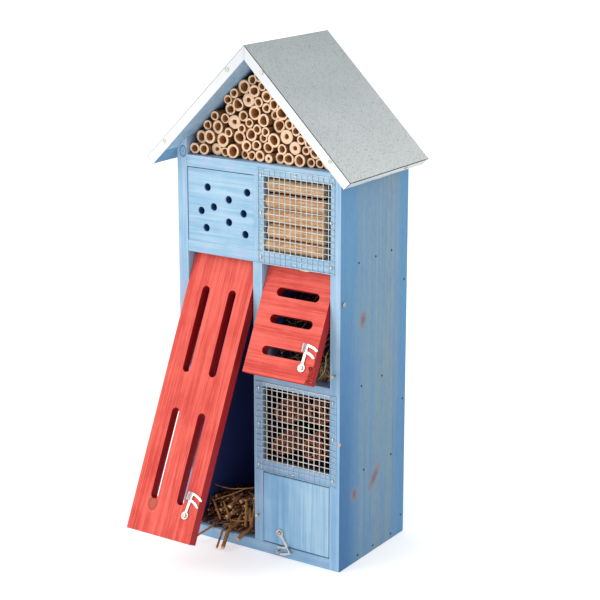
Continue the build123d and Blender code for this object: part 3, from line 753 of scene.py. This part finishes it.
class HOTEL_OT_hardware(bpy.types.Operator):
    """Plate the latches, screws, catch pins, pivots and nails"""
    bl_idname = "insect_hotel.hardware"
    bl_label = "Latches and nails"

    def execute(self, context):
        metal = context.scene.insect_hotel_metal
        zinc = polished_metal("bright_zinc_plate", metal.zinc, linear("B2B4B5"), 0.3, 0.75)
        # painted shade: dark grey on the latches' rounded edges, for the shade round their outline
        shade = polished_metal("zinc_edge_painted_shade", linear("4A4C4E"), linear("2E3032"), 0.45)
        brass = polished_metal("turned_brass", metal.brass, linear("8A7038"), 0.35)
        steel = polished_metal("drawn_steel_nail", linear("A9AAA8"), linear("5E5D59"), 0.38)
        pale = polished_metal("zinc_nail_head", linear("CFD0C4"), linear("9A9C8C"), 0.5)
        dark = polished_metal("dull_steel_pin", linear("3B4148"), linear("22262C"), 0.6)
        for node in ("tall_latch", "small_latch", "lower_latch"):
            paint(ease(node, 0.36 * MM, edge_finish=1), zinc, shade)
        for node in ("tall_latch_screw", "small_latch_screw", "lower_latch_screw", "tall_catch_pin",
                     "small_catch_pin", "lower_catch_pin"):
            paint(ease(node, 0.12 * MM), brass)
        for node in ("tall_door_pivot", "small_door_pivot", "shared_pivot", "lower_door_pivots"):
            paint(ease(node, 0.2 * MM), steel)
        paint(ease("roof_nails", 0.2 * MM), pale)
        paint(ease("wall_nails", 0.1 * MM), dark)
        return {"FINISHED"}


class HOTEL_OT_roof(bpy.types.Operator):
    """Fold the roof sheet over the boards, crinkled along both eaves"""
    bl_idname = "insect_hotel.roof"
    bl_label = "Roof sheet"

    def execute(self, context):
        metal = context.scene.insect_hotel_metal
        low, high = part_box("roof_sheet")
        root = math.sqrt(2)
        slope = high.x * root
        fold = (high.z - low.z) * root - slope
        heap = Heap()
        steps, rows, lips = 64, 72, 8

        def on_slope(side, along, deep, y):
            return Vector((side * (along - deep) / root, y, high.z - (along + deep) / root))

        def dent(y, along, side):
            return 0.12 * MM * (1 + noise.noise(Vector((along * 9, y * 11, side * 3.7))))

        depths = [low.y + (high.y - low.y) * r / rows for r in range(rows + 1)]
        for side in (-1, 1):
            # the slope itself, slightly dented
            skin = []
            for y in depths:
                row = []
                for s in range(steps + 1):
                    along = slope * s / steps
                    inner = 0 < s < steps and low.y < y < high.y
                    row.append(on_slope(side, along, dent(y, along, side) if inner else 0.0, y))
                skin.append(row)
            heap.grid(skin, 0)
            # the folds over the front and rear edges, mitred on the centre line
            for y, inward in ((low.y, 1), (high.y, -1)):
                strip = []
                for d in range(lips + 1):
                    deep = fold * d / lips
                    row = []
                    for s in range(steps + 1):
                        along = deep + (slope - deep) * s / steps
                        seam = 0.5 * MM if s == 0 else 0.0
                        wave = 0.10 * MM * (1 + noise.noise(Vector((along * 30, deep * 60, y * 9 + side))))
                        edge = 0.0 if d == 0 or s == steps else seam + wave
                        row.append(on_slope(side, along, deep, y + inward * edge))
                    strip.append(row)
                heap.grid(strip, 1)
            # the eave fold: a groove under the top edge, then a crinkled lip of uneven width
            lip = []
            for d in range(lips + 1):
                row = []
                for y in depths:
                    share = d / lips
                    end = min(1.0, (y - low.y) / (6 * MM), (high.y - y) / (6 * MM))
                    width = fold * (1 - 0.16 * end * (0.5 + noise.noise(Vector((y * 45, side * 5.1, 0.3)))))
                    crinkle = noise.noise(Vector((y * 90, share * 1.6, side * 2.3)))
                    groove = 0.45 * MM if d == 1 else 0.0
                    inset = end * (groove + metal.crinkle * share * (1 + crinkle) / 2)
                    row.append(on_slope(side, slope - (inset if d else 0.0), width * share, y))
                lip.append(row)
            heap.grid(lip, 2)
        sheet = galvanised_sheet("galvanised_sheet_top", metal.sheet, 0.75, 0.5)
        # painted light: the brighter copy of the sheet for the front and rear folds
        folds = galvanised_sheet("galvanised_sheet_fold", metal.sheet_fold_painted_light, 0.06, 0.55)
        lip_finish = galvanised_sheet("galvanised_sheet_eave", linear("D3D8DA"), 0.2, 0.42)
        # painted shade: a near-black finish on the rounded bends, for the shade along the folds
        bend = galvanised_sheet("galvanised_sheet_bend_painted_shade", linear("25292B"), 0.2, 0.6)
        piece = heap.build("folded_roof_sheet", [sheet, folds, lip_finish, bend], "house",
                           ["roof_sheet"])
        face_outwards(piece.data, 0.01 * MM)
        bevel = piece.modifiers.new("bends", "BEVEL")
        bevel.width = 0.9 * MM
        bevel.segments = 3
        bevel.material = 3
        bevel.limit_method = "ANGLE"
        bevel.angle_limit = math.radians(40)
        gauge = piece.modifiers.new("gauge", "SOLIDIFY")
        gauge.thickness = metal.sheet_gauge
        gauge.offset = -1
        piece.modifiers.new("shading", "WEIGHTED_NORMAL")
        return {"FINISHED"}


class HOTEL_OT_wire_mesh(bpy.types.Operator):
    """Weld both wire meshes and drive their staples"""
    bl_idname = "insect_hotel.wire_mesh"
    bl_label = "Wire mesh"

    def weave(self, node, finish, metal):
        """One mesh of crossing wires that are a little bent, with its welds."""
        low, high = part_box(node)
        half = metal.wire / 2
        pitch = metal.mesh_pitch
        rim = (high.y - low.y) / 2
        y = (low.y + high.y) / 2
        heap = Heap()
        across = round((high.x - low.x) / pitch) + 1
        up = round((high.z - low.z) / pitch) + 1
        first = Vector((low.x + rim, 0, low.z + rim))
        sweep = 34

        def bent(value, other, seed):
            return value + 0.16 * MM * noise.noise(Vector((other * 28, value * 90, seed)))

        for column in range(across):
            x = first.x + column * pitch
            path = []
            for s in range(sweep + 1):
                z = low.z + (high.z - low.z) * s / sweep
                path.append((bent(x, z, 1.0), y + 0.1 * MM * noise.noise(Vector((x * 90, z * 40, 5))), z))
            heap.rod(path, half * 0.98, 8)
        for row in range(up):
            z = first.z + row * pitch
            path = []
            for s in range(sweep + 1):
                x = low.x + (high.x - low.x) * s / sweep
                depth = y - 0.28 * MM + 0.1 * MM * noise.noise(Vector((x * 40, z * 90, 8)))
                path.append((x, depth, bent(z, x, 2.0)))
            heap.rod(path, half, 8)
        heap.build(f"welded_{node}", [finish], "house", [node])

    def execute(self, context):
        metal = context.scene.insect_hotel_metal
        pick = random.Random(5)
        upper = plated_wire("galvanised_wire_upper", metal.wire_upper)
        lower = plated_wire("galvanised_wire_lower", metal.wire_lower)
        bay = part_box("lower_divider")[1].x
        stained_over(lower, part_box("lower_shelf")[1].z, bay, INNER_X, 0.75)
        stained_over(upper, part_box("upper_shelf")[1].z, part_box("upper_divider")[1].x, INNER_X, 0.45)
        self.weave("upper_mesh", upper, metal)
        self.weave("lower_mesh", lower, metal)
        bright = polished_metal("bright_zinc_staple", linear("F4F1E4"), linear("B8B4A2"), 0.3)
        for node in ("upper_mesh_staples", "lower_mesh_staples"):
            heap = Heap()
            radius = metal.staple_wire / 2
            for points in solids(node):
                low, high = Vector(points.min(0)), Vector(points.max(0))
                centre = (low + high) / 2
                upright = high.z - low.z > high.x - low.x
                span = max(high.z - low.z, high.x - low.x) / 2 - radius
                way = Vector((0, 0, 1)) if upright else Vector((1, 0, 0))
                lean = Vector((pick.uniform(-1, 1), 0, pick.uniform(-1, 1))) * 0.25 * MM
                front = low.y + radius
                path = []
                for side in (-1, 1):
                    foot = centre + way * span * side
                    corner = [Vector((foot.x, high.y - 1 * MM, foot.z))]
                    for step in range(5):
                        turn = math.pi / 2 * step / 4
                        inset = 0.9 * MM * (1 - math.sin(turn))
                        back = 0.9 * MM * (1 - math.cos(turn))
                        corner.append(foot + way * -side * (0.9 * MM - inset) * 0.6 + lean
                                      + Vector((0, front + 0.9 * MM - back - foot.y, 0)))
                    path += corner if side < 0 else corner[::-1]
                heap.rod(path, radius, 8)
            heap.build(f"driven_{node}", [bright], "house", [node])
        return {"FINISHED"}


class HOTEL_OT_bamboo(bpy.types.Operator):
    """Cut the bamboo in the gable, each tube with its own wall and outline"""
    bl_idname = "insect_hotel.bamboo"
    bl_label = "Bamboo"

    def execute(self, context):
        filling = context.scene.insect_hotel_filling
        skin = fibrous("dried_bamboo_skin", filling.cane_skin, linear("6B4A2B"), (1.2, 30, 1.2), 0.08,
                       (0.3, 0.7), 0.5)
        cut = fibrous("sawn_bamboo_wall", filling.cane_cut, linear("C99A66"), (0.8, 0.8, 0.8), 0.06,
                      (0.28, 0.5), 0.75)
        pith = fibrous("dry_bamboo_pith", filling.cane_bore, linear("85522A"), (1.6, 8, 1.6), 0.12,
                       (0.3, 0.75), 0.85)
        pick = random.Random(23)
        sides = 28
        names = sorted(n for n in frame["nodes"] if n.startswith("bamboo_layer"))
        for number, node in enumerate(names, 1):
            heap = Heap()
            for points in solids(node):
                low, high = points.min(0), points.max(0)
                x, z = (low[0] + high[0]) / 2, (low[2] + high[2]) / 2
                radius = (high[0] - low[0]) / 2
                bore = np.hypot(points[:, 0] - x, points[:, 2] - z).min()
                self.tube(heap, pick, sides, Vector((x, low[1], z)), high[1], radius, bore)
            heap.build(f"bamboo_tubes_{number}", [skin, cut, pith], "house", [node])
        return {"FINISHED"}

    def tube(self, heap, pick, sides, mouth, rear, radius, bore):
        """One tube: outside, sawn rim and bore, none of them quite round."""
        lobes = [(pick.uniform(0, most), pick.uniform(0, math.tau)) for most in (0.03, 0.016)]
        odd = pick.random() < 0.12
        pith = [(pick.uniform(0.02, 0.09), pick.uniform(0, math.tau)),
                (pick.uniform(0.02, 0.16 if odd else 0.06), pick.uniform(0, math.tau))]
        shift = Vector((pick.uniform(-1, 1), 0, pick.uniform(-1, 1))) * radius * 0.05
        slant, slant_way = pick.uniform(0, 0.09), pick.uniform(0, math.tau)
        swell = mouth.y + pick.uniform(9, 40) * MM
        waist = pick.uniform(0.9, 1.0)

        def ring(y, base, shape, centre, cut=True):
            points = []
            for k in range(sides):
                angle = math.tau * k / sides
                ripple = 1 + sum(a * math.cos(n * (angle - p)) for n, (a, p) in zip((2, 3), shape))
                r = base * ripple
                ragged = 0.06 * MM * noise.noise(Vector((k * 1.7, base * 900, mouth.x * 500)))
                tilt = (slant * r * math.cos(angle - slant_way) + ragged) if cut else 0.0
                x, z = centre.x + r * math.cos(angle), centre.z + r * math.sin(angle)
                points.append(Vector((x, y + tilt, z)))
            return points

        outer = radius + 0.12 * MM
        inner_centre = mouth + shift
        front = mouth.y + slant * radius + 0.1 * MM
        rings = [ring(front, outer - 0.25 * MM, lobes, mouth), ring(front + 0.3 * MM, outer, lobes, mouth)]
        kinds = [1, 0]
        for offset, scale in ((-2.0, waist), (-0.6, 1.0), (0.0, 1.04), (0.6, 1.0), (3.0, waist)):
            rings.append(ring(swell + offset * MM, outer * scale, lobes, mouth, False))
            kinds.append(0)
        rings.append(ring(rear, outer, lobes, mouth, False))
        kinds.append(1)
        rings.append(ring(rear, bore, pith, inner_centre, False))
        kinds.append(2)
        rings.append(ring(front + 14 * MM, bore * 0.96, pith, inner_centre, False))
        kinds.append(2)
        rings.append(ring(front + 0.5 * MM, bore, pith, inner_centre))
        kinds.append(1)
        rings.append(ring(front, bore + 0.15 * MM, pith, inner_centre))
        kinds.append(1)
        heap.rings([r[::-1] for r in rings], kinds, closed=True)


class HOTEL_OT_logs(bpy.types.Operator):
    """Peel the logs behind the upper mesh"""
    bl_idname = "insect_hotel.logs"
    bl_label = "Logs"

    def execute(self, context):
        filling = context.scene.insect_hotel_filling
        bark = fibrous("peeled_branch", filling.log_light, filling.log_deep, (16, 1.5, 1.5), 0.2,
                       (0.32, 0.62), 0.85, (1.0, 14, 14))
        end = fibrous("sawn_branch_end", linear("E6C9A0"), filling.log_deep, (1, 0.5, 0.5), 0.1)
        names = sorted(n for n in frame["nodes"] if n.startswith("wood_log"))
        for number, node in enumerate(names, 1):
            low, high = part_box(node)
            radius = (high.z - low.z) / 2
            centre = (low + high) / 2
            heap = Heap()
            sections, sides = 46, 40
            rings = []
            profile = [(0.0, 0.82), (0.4, 0.95), (1.0, 1.0)]
            length = high.x - low.x
            stations = [(low.x + d * MM, k) for d, k in profile]
            stations += [(low.x + 1 * MM + (length - 2 * MM) * s / sections, 1.0)
                         for s in range(1, sections)]
            stations += [(high.x - d * MM, k) for d, k in reversed(profile)]
            for x, shrink in stations:
                sway = 0.05 * radius * noise.noise(Vector((x * 18, number * 3.3, 0)))
                ring = []
                for k in range(sides):
                    angle = math.tau * k / sides
                    way = Vector((0, math.cos(angle), math.sin(angle)))
                    lump = noise.noise(Vector((x * 30, way.y * 1.5 + number * 9, way.z * 1.5)))
                    fibre = noise.noise(Vector((x * 160, way.y * 5 + number, way.z * 5)))
                    r = radius * shrink * (0.94 + 0.035 * lump + 0.02 * fibre)
                    end_face = Vector((way.y * 2.5, way.z * 2.5, number + (x > centre.x)))
                    ragged = 0.35 * MM * noise.noise(end_face)
                    ring.append(Vector((x + (ragged if shrink < 1 else 0), centre.y + way.y * r + sway,
                                        centre.z + way.z * r)))
                rings.append(ring)
            heap.rings(rings, [0] * (len(rings) - 1), cap_kind=1)
            heap.build(f"peeled_log_{number}", [bark, end], "house", [node])
        return {"FINISHED"}


class HOTEL_OT_cones(bpy.types.Operator):
    """Grow the pine cones, scale by scale round their spiral"""
    bl_idname = "insect_hotel.cones"
    bl_label = "Pine cones"

    def scale(self, heap, root, out, forward, length, width, thick):
        """One woody scale: narrow at the core, widening to a thick tip with a raised boss."""
        across = forward.cross(out).normalized()
        lift = out.cross(across).normalized()
        stations = [(0.0, 0.30, 0.35), (0.35, 0.55, 0.5), (0.7, 0.95, 0.75), (0.9, 1.0, 1.1),
                    (1.0, 0.72, 0.9)]
        rings = []
        for t, w, h in stations:
            curl = forward * (0.10 * length * t * t)
            middle = root + out * length * t + curl
            ring = []
            for a, b in ((-1, 0), (-0.55, 0.8), (0, 1.25), (0.55, 0.8), (1, 0), (0.5, -0.6), (-0.5, -0.6)):
                ring.append(middle + across * a * w * width + lift * b * h * thick)
            rings.append(ring)
        heap.rings(rings, [0, 0, 1, 1], cap_kind=1)

    def execute(self, context):
        filling = context.scene.insect_hotel_filling
        woody = fibrous("cone_scale", filling.cone_scale, linear("3A1D12"), (1.5, 3, 1.5), 0.12,
                        (0.3, 0.7), 0.7)
        tip = fibrous("cone_scale_tip", filling.cone_tip, linear("7A4030"), (0.9, 0.9, 0.9), 0.12,
                      (0.35, 0.65), 0.7)
        core = fibrous("cone_core", linear("3A1D12"), linear("1D0E08"), (2, 2, 2), 0.2)
        names = sorted(n for n in frame["nodes"] if n.startswith("pine_cone"))
        for number, node in enumerate(names, 1):
            pick = random.Random(40 + number)
            low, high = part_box(node)
            centre = (low + high) / 2
            radius, half = (high.x - low.x) / 2, (high.y - low.y) / 2
            heap = Heap()
            count = filling.cone_scales
            for k in range(count):
                t = (k + 0.5) / count
                y = half * (1 - 2 * t) * 0.9
                wide = radius * math.sqrt(max(0.05, 1 - (y / half) ** 2))
                angle = k * GOLDEN_ANGLE + pick.uniform(-0.08, 0.08)
                radial = Vector((math.cos(angle), 0, math.sin(angle)))
                forward = Vector((0, -1, 0))
                spread = math.radians(58 - 40 * t)
                out = (radial * math.sin(spread) + forward * math.cos(spread)).normalized()
                root = centre + Vector((0, y + 3 * MM, 0)) + radial * wide * 0.22
                reach = min(wide * 0.74 / max(math.sin(spread), 0.45), 0.7 * radius)
                width, thick = wide * 0.30 + 0.6 * MM, 0.55 * MM + 0.035 * wide
                self.scale(heap, root, out, forward, reach, width, thick)
            path = [centre + Vector((0, half * s, 0)) for s in (0.85, 0.4, 0, -0.4, -0.8)]
            heap.rod(path, [radius * r for r in (0.25, 0.4, 0.42, 0.34, 0.15)], 10, kind=2)
            grown = heap.build(f"spiral_cone_{number}", [woody, tip, core], "house", [node])
            keep_inside(grown, low, high)
        return {"FINISHED"}


def keep_inside(piece, low, high):
    """Pulls stray points of a piece back into a box."""
    for vertex in piece.data.vertices:
        vertex.co = Vector(min(max(c, a), b) for c, a, b in zip(vertex.co, low, high))


class HOTEL_OT_brushwood(bpy.types.Operator):
    """Pile the brushwood in the tall bay and lay the loose sticks"""
    bl_idname = "insect_hotel.brushwood"
    bl_label = "Brushwood"

    def execute(self, context):
        filling = context.scene.insect_hotel_filling
        low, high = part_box("twig_bundle")
        bark = fibrous("twig_bark", filling.bark, linear("2E1A0E"), (1.5, 4, 1.5), 0.1, (0.35, 0.72), 0.7)
        pale = fibrous("stripped_twig", linear("B4875A"), linear("6A4426"), (2, 6, 2), 0.1, (0.3, 0.7), 0.7)
        cut = fibrous("snapped_twig_end", filling.twig_cut, linear("C49A6A"), (0.7, 0.7, 0.7), 0.05)
        pick = random.Random(17)
        heap = Heap()
        margin = 0.8 * MM
        for index in range(filling.twigs):
            stout = index % 26 == 0
            radius = pick.uniform(1.5, 2.5) * MM if stout else pick.choice((0.4, 0.55, 0.7, 0.9, 1.2)) * MM
            x = pick.uniform(low.x + margin + radius, high.x - margin - radius)
            flat = index % 9 == 4 and not stout     # lies on the base, under the shut door's edge
            share = pick.random() ** 0.8
            top = 33 + 11 * (x - low.x) / (high.x - low.x)
            z = low.z + radius + share * (top * MM - low.z)
            y = low.y + (share * 20 + pick.uniform(-2, 9)) * MM
            length = pick.uniform(28, 78) * MM
            across = pick.random() < 0.14 and not stout
            heading = pick.gauss(1.1, 0.35) * pick.choice((-0.8, 1)) if across else pick.gauss(0.08, 0.24)
            rise = pick.gauss(0.08, 0.13)
            if flat:
                z, rise = low.z + pick.uniform(1, 4.4) * MM, 0.0
                y, heading = FRONT + pick.uniform(0, 11) * MM, pick.gauss(0.2, 0.5)
            way = Vector((math.sin(heading) * math.cos(rise), math.cos(heading) * math.cos(rise),
                          math.sin(rise)))
            start = Vector((x, y, z))
            bow = way.orthogonal().normalized() * pick.uniform(-2.5, 2.5) * MM
            path = []
            for s in range(8):
                t = s / 7
                point = start + way * length * t + bow * 4 * t * (1 - t)
                point += wander(point * 55) * (0.3 if stout else 1.0) * MM
                point.x = min(max(point.x, low.x + margin + radius), high.x - margin - radius)
                point.y = min(max(point.y, FRONT if flat else low.y - 0.4 * MM + radius), high.y)
                ceiling = top * MM + 1 * MM - 0.18 * (point.y - low.y)
                if point.y < low.y:
                    ceiling = low.z + 5.4 * MM - radius
                point.z = min(max(point.z, low.z + radius), ceiling)
                path.append(point)
            taper = [radius * (1 - 0.3 * s / 7) for s in range(8)]
            kind = 1 if stout or pick.random() < 0.36 else 0
            cap = 2 if stout or pick.random() < 0.25 else 0
            heap.rod(path, taper, 10 if stout else 6, kind=kind, cap_kind=cap)
        self.strays(heap, low, high)
        heap.build("piled_twigs", [bark, pale, cut], "house", ["twig_bundle"])
        self.lay_sticks([pale, cut])
        return {"FINISHED"}

    def strays(self, heap, low, high):
        """A few long thin twigs that stick out on top of the pile."""
        for start, middle, end, radius in (
                ((low.x + 1.5 * MM, low.y + 20 * MM, 0.044), (-0.060, low.y + 22 * MM, 0.039),
                 (-0.022, low.y + 30 * MM, 0.052), 0.6),
                ((-0.034, low.y + 24 * MM, 0.041), (-0.026, low.y + 30 * MM, 0.050),
                 (-0.018, low.y + 38 * MM, 0.060), 0.35),
                ((-0.078, low.y + 9 * MM, 0.030), (-0.058, low.y + 8 * MM, 0.040),
                 (-0.040, low.y + 16 * MM, 0.049), 0.5),
                # stout ones whose sawn ends face the front
                ((-0.0478, low.y - 0.2 * MM, 0.033), (-0.049, low.y + 12 * MM, 0.036),
                 (-0.051, low.y + 30 * MM, 0.037), 2.0),
                ((-0.0526, low.y - 0.2 * MM, 0.0205), (-0.050, low.y + 12 * MM, 0.024),
                 (-0.044, low.y + 32 * MM, 0.032), 2.2),
                ((-0.043, low.y - 0.2 * MM, 0.0145), (-0.041, low.y + 10 * MM, 0.018),
                 (-0.035, low.y + 26 * MM, 0.024), 1.5),
                ((-0.0275, low.y - 0.1 * MM, 0.0145), (-0.029, low.y + 3 * MM, 0.025),
                 (-0.033, low.y + 10 * MM, 0.038), 1.9),
                ((-0.0205, low.y + 0.1 * MM, 0.0145), (-0.021, low.y + 5 * MM, 0.026),
                 (-0.024, low.y + 12 * MM, 0.041), 1.3)):
            a, b, c = Vector(start), Vector(middle), Vector(end)
            path = [a.lerp(b, s / 8).lerp(b.lerp(c, s / 8), s / 8) for s in range(9)]
            path = [p + wander(p * 80) * 0.7 * MM for p in path]
            heap.rod(path, radius * MM, 7, kind=1, cap_kind=2)

    def lay_sticks(self, finishes):
        """The sticks that droop over the base, along their CAD places, from inside the pile."""
        heap = Heap()
        for points in solids("loose_sticks"):
            rear = points[points[:, 1] > points[:, 1].max() - 0.05 * MM]
            tip = points[points[:, 1] < points[:, 1].min() + 1.2 * MM]
            start, end = Vector(rear.mean(0)), Vector(tip.mean(0))
            radius = (rear[:, 0].max() - rear[:, 0].min()) / 2
            if radius < 2 * MM:
                lean = (-0.9, 0.6, 0.8)
            elif start.x > -30 * MM:
                lean = (-0.5, 0.5, 0.8)
            else:
                lean = (-0.3, 0.9, 0.4)
            inside = start + Vector(lean) * 22 * MM
            knee = Vector((start.x, FRONT - 1.0 * MM, start.z))
            corners = [inside, start + Vector((0, 1, 0.6)) * MM, knee, end]
            path = []
            for s in range(25):
                t = s / 24 * 3
                leg = min(int(t), 2)
                point = corners[leg].lerp(corners[leg + 1], t - leg)
                point += wander(point * 90) * 0.16 * radius
                path.append(point)
            for _ in range(2):
                smooth = [(a + b * 2 + c) / 4 for a, b, c in zip(path, path[1:], path[2:])]
                path = [path[0], *smooth, path[-1]]
            radii = [radius * (0.93 + 0.07 * noise.noise(Vector((s * 0.6, start.x * 300, 0))))
                     for s in range(25)]
            heap.rod(path, radii, 14, kind=0, cap_kind=1)
        heap.build("drooping_sticks", finishes, "house", ["loose_sticks"])


class HOTEL_OT_straw(bpy.types.Operator):
    """Stuff the small bay with dry grass"""
    bl_idname = "insect_hotel.straw"
    bl_label = "Dry grass"

    def execute(self, context):
        filling = context.scene.insect_hotel_filling
        low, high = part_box("nest_straw")
        look = ((1.5, 1.5, 1.5), 0.05, (0.3, 0.7))
        dry = fibrous("dry_grass", filling.grass, linear("5B4526"), *look, 0.7)
        straw = fibrous("bleached_straw", linear("E6D2AE"), linear("A88A5E"), *look, 0.6)
        dark = fibrous("old_grass", linear("5A3C20"), linear("24160B"), *look, 0.8)
        pick = random.Random(31)
        heap = Heap()
        for _ in range(filling.strands):
            middle = Vector((pick.uniform(low.x, high.x), pick.uniform(low.y, low.y + 60 * MM),
                             low.z + abs(pick.gauss(0, 0.42)) * (high.z - low.z)))
            way = Vector((pick.gauss(0, 1), pick.gauss(0, 0.7), pick.gauss(0, 0.8))).normalized()
            bow = way.orthogonal().normalized() * pick.uniform(-14, 14) * MM
            reach = pick.uniform(10, 34) * MM
            path = []
            for s in range(9):
                t = s / 8 * 2 - 1
                point = middle + way * reach * t + bow * (1 - t * t)
                point += wander(point * 45) * 2.2 * MM
                # higher up the grass stays clear of the door's top edge, which swings in
                clear = min(1.0, max(0.0, (point.z - low.z - 27 * MM) / (22 * MM)))
                front = low.y + (1.5 + 24 * clear) * MM
                point.x = min(max(point.x, low.x + 0.6 * MM), high.x - 0.6 * MM)
                point.y = min(max(point.y, front), high.y)
                point.z = min(max(point.z, low.z + 0.4 * MM), high.z)
                path.append(point)
            radius = pick.uniform(0.16, 0.5) * MM
            heap.rod(path, [radius * k for k in (0.6, 0.9, 1, 1, 1, 1, 0.9, 0.7, 0.4)], 5,
                     kind=0 if pick.random() < 0.45 else 1)
        for index in range(44):
            # paler strands tumble out beside the right wall
            foot = Vector((high.x - pick.uniform(1.5, 24) * MM, FRONT + pick.uniform(13, 17) * MM,
                           low.z + pick.uniform(0.4, 7) * MM))
            way = Vector((pick.uniform(-0.5, 0.25), pick.uniform(0.0, 0.4), pick.uniform(0.2, 1.1)))
            curl = Vector((pick.uniform(-1, 1), 0.2, pick.uniform(-1, 1))) * pick.uniform(3, 10) * MM
            path = []
            for s in range(11):
                t = s / 10
                point = foot + way * pick.uniform(17, 19) * MM * t + curl * math.sin(math.pi * t)
                point.x = min(max(point.x, low.x), high.x - 0.5 * MM)
                point.y = max(point.y, FRONT + 12.6 * MM)
                point.z = max(point.z, low.z + 0.3 * MM)
                path.append(point)
            heap.rod(path, pick.uniform(0.22, 0.42) * MM, 5, kind=2 if index % 3 == 0 else 0)
        stalk = [Vector((high.x - aside * MM, FRONT + back * MM, low.z + up * MM)) for aside, back, up in
                 ((22, 14, 0.6), (13.5, 13.2, 11), (11.5, 13.2, 19), (11.8, 13.4, 27), (9.0, 14, 34))]
        heap.rod(stalk, [0.5 * MM, 0.6 * MM, 0.6 * MM, 0.55 * MM, 0.4 * MM], 8, kind=2)
        heap.build("loose_grass", [dry, dark, straw], "house", ["nest_straw"])
        return {"FINISHED"}


class HOTEL_OT_stage(bpy.types.Operator):
    """Lay the pale floor, set the soft lights and stand the camera"""
    bl_idname = "insect_hotel.stage"
    bl_label = "Stage"

    def execute(self, context):
        stage = context.scene.insect_hotel_stage
        scene = context.scene
        half = stage.floor_size / 2
        mesh = bpy.data.meshes.new("floor")
        corners = [(-half, -half, 0), (half, -half, 0), (half, half, 0), (-half, half, 0)]
        mesh.from_pydata(corners, [], [(0, 1, 2, 3)])
        surface = {"Roughness": 0.9, "Base Color": (*stage.floor, 1), "Emission Color": (1, 1, 1, 1),
                   "Emission Strength": stage.floor_glow}
        mesh.materials.append(material("pale_studio_floor", surface)[0])
        floor = bpy.data.objects.new("floor", mesh)
        scene.collection.objects.link(floor)
        world = bpy.data.worlds.new("studio")
        world.use_nodes = True
        world.node_tree.nodes["Background"].inputs["Color"].default_value = (1, 1, 1, 1)
        world.node_tree.nodes["Background"].inputs["Strength"].default_value = stage.sky
        scene.world = world
        self.light("key", (-1.35, -1.9, 1.55), 1.3, stage.key)
        self.light("front", (0.5, -2.4, 0.9), 1.2, 0.2 * stage.key)
        camera = bpy.data.cameras.new("camera")
        camera.lens = stage.lens
        camera.shift_y = -0.05
        stand = bpy.data.objects.new("camera", camera)
        stand.location = CAMERA_PLACE
        stand.rotation_euler = (math.pi / 2 - stage.dip, 0, stage.heading)
        scene.collection.objects.link(stand)
        scene.camera = stand
        scene.view_settings.view_transform = "Standard"
        return {"FINISHED"}

    def light(self, name, place, width, power):
        """A square soft light that looks at the middle of the object."""
        lamp = bpy.data.lights.new(name, "AREA")
        lamp.energy = power
        lamp.size = width
        stand = bpy.data.objects.new(name, lamp)
        stand.location = place
        aim = Vector(LIGHT_AIM) - Vector(place)
        stand.rotation_euler = aim.to_track_quat("-Z", "Y").to_euler()
        bpy.context.scene.collection.objects.link(stand)


# ---------------------------------------------------------------- panel and registration
class HOTEL_PT_panel(bpy.types.Panel):
    """Lists the steps that finish the insect hotel."""
    bl_idname = "HOTEL_PT_panel"
    bl_label = "Insect hotel"
    bl_space_type = "VIEW_3D"
    bl_region_type = "UI"
    bl_category = "Insect Hotel"

    def draw(self, context):
        for name, group in GROUPS.items():
            for setting in group.__annotations__:
                self.layout.prop(getattr(context.scene, name), setting)
        for step in STEPS:
            self.layout.operator(step.bl_idname)


GROUPS = {"insect_hotel_stain": StainSettings, "insect_hotel_metal": MetalSettings,
          "insect_hotel_filling": FillingSettings, "insect_hotel_stage": StageSettings}
STEPS = (HOTEL_OT_stage, HOTEL_OT_boards, HOTEL_OT_block, HOTEL_OT_doors, HOTEL_OT_hardware,
         HOTEL_OT_roof, HOTEL_OT_wire_mesh, HOTEL_OT_bamboo, HOTEL_OT_logs, HOTEL_OT_cones,
         HOTEL_OT_brushwood, HOTEL_OT_straw)


def register():
    for made in (*GROUPS.values(), *STEPS, HOTEL_PT_panel):
        bpy.utils.register_class(made)
    for name, group in GROUPS.items():
        setattr(bpy.types.Scene, name, bpy.props.PointerProperty(type=group))


def unregister():
    for name in GROUPS:
        delattr(bpy.types.Scene, name)
    for made in reversed((*GROUPS.values(), *STEPS, HOTEL_PT_panel)):
        bpy.utils.unregister_class(made)


def main():
    """Runs every step."""
    register()
    for step in STEPS:
        group, name = step.bl_idname.split(".")
        getattr(getattr(bpy.ops, group), name)()


if __name__ == "__main__":
    main()
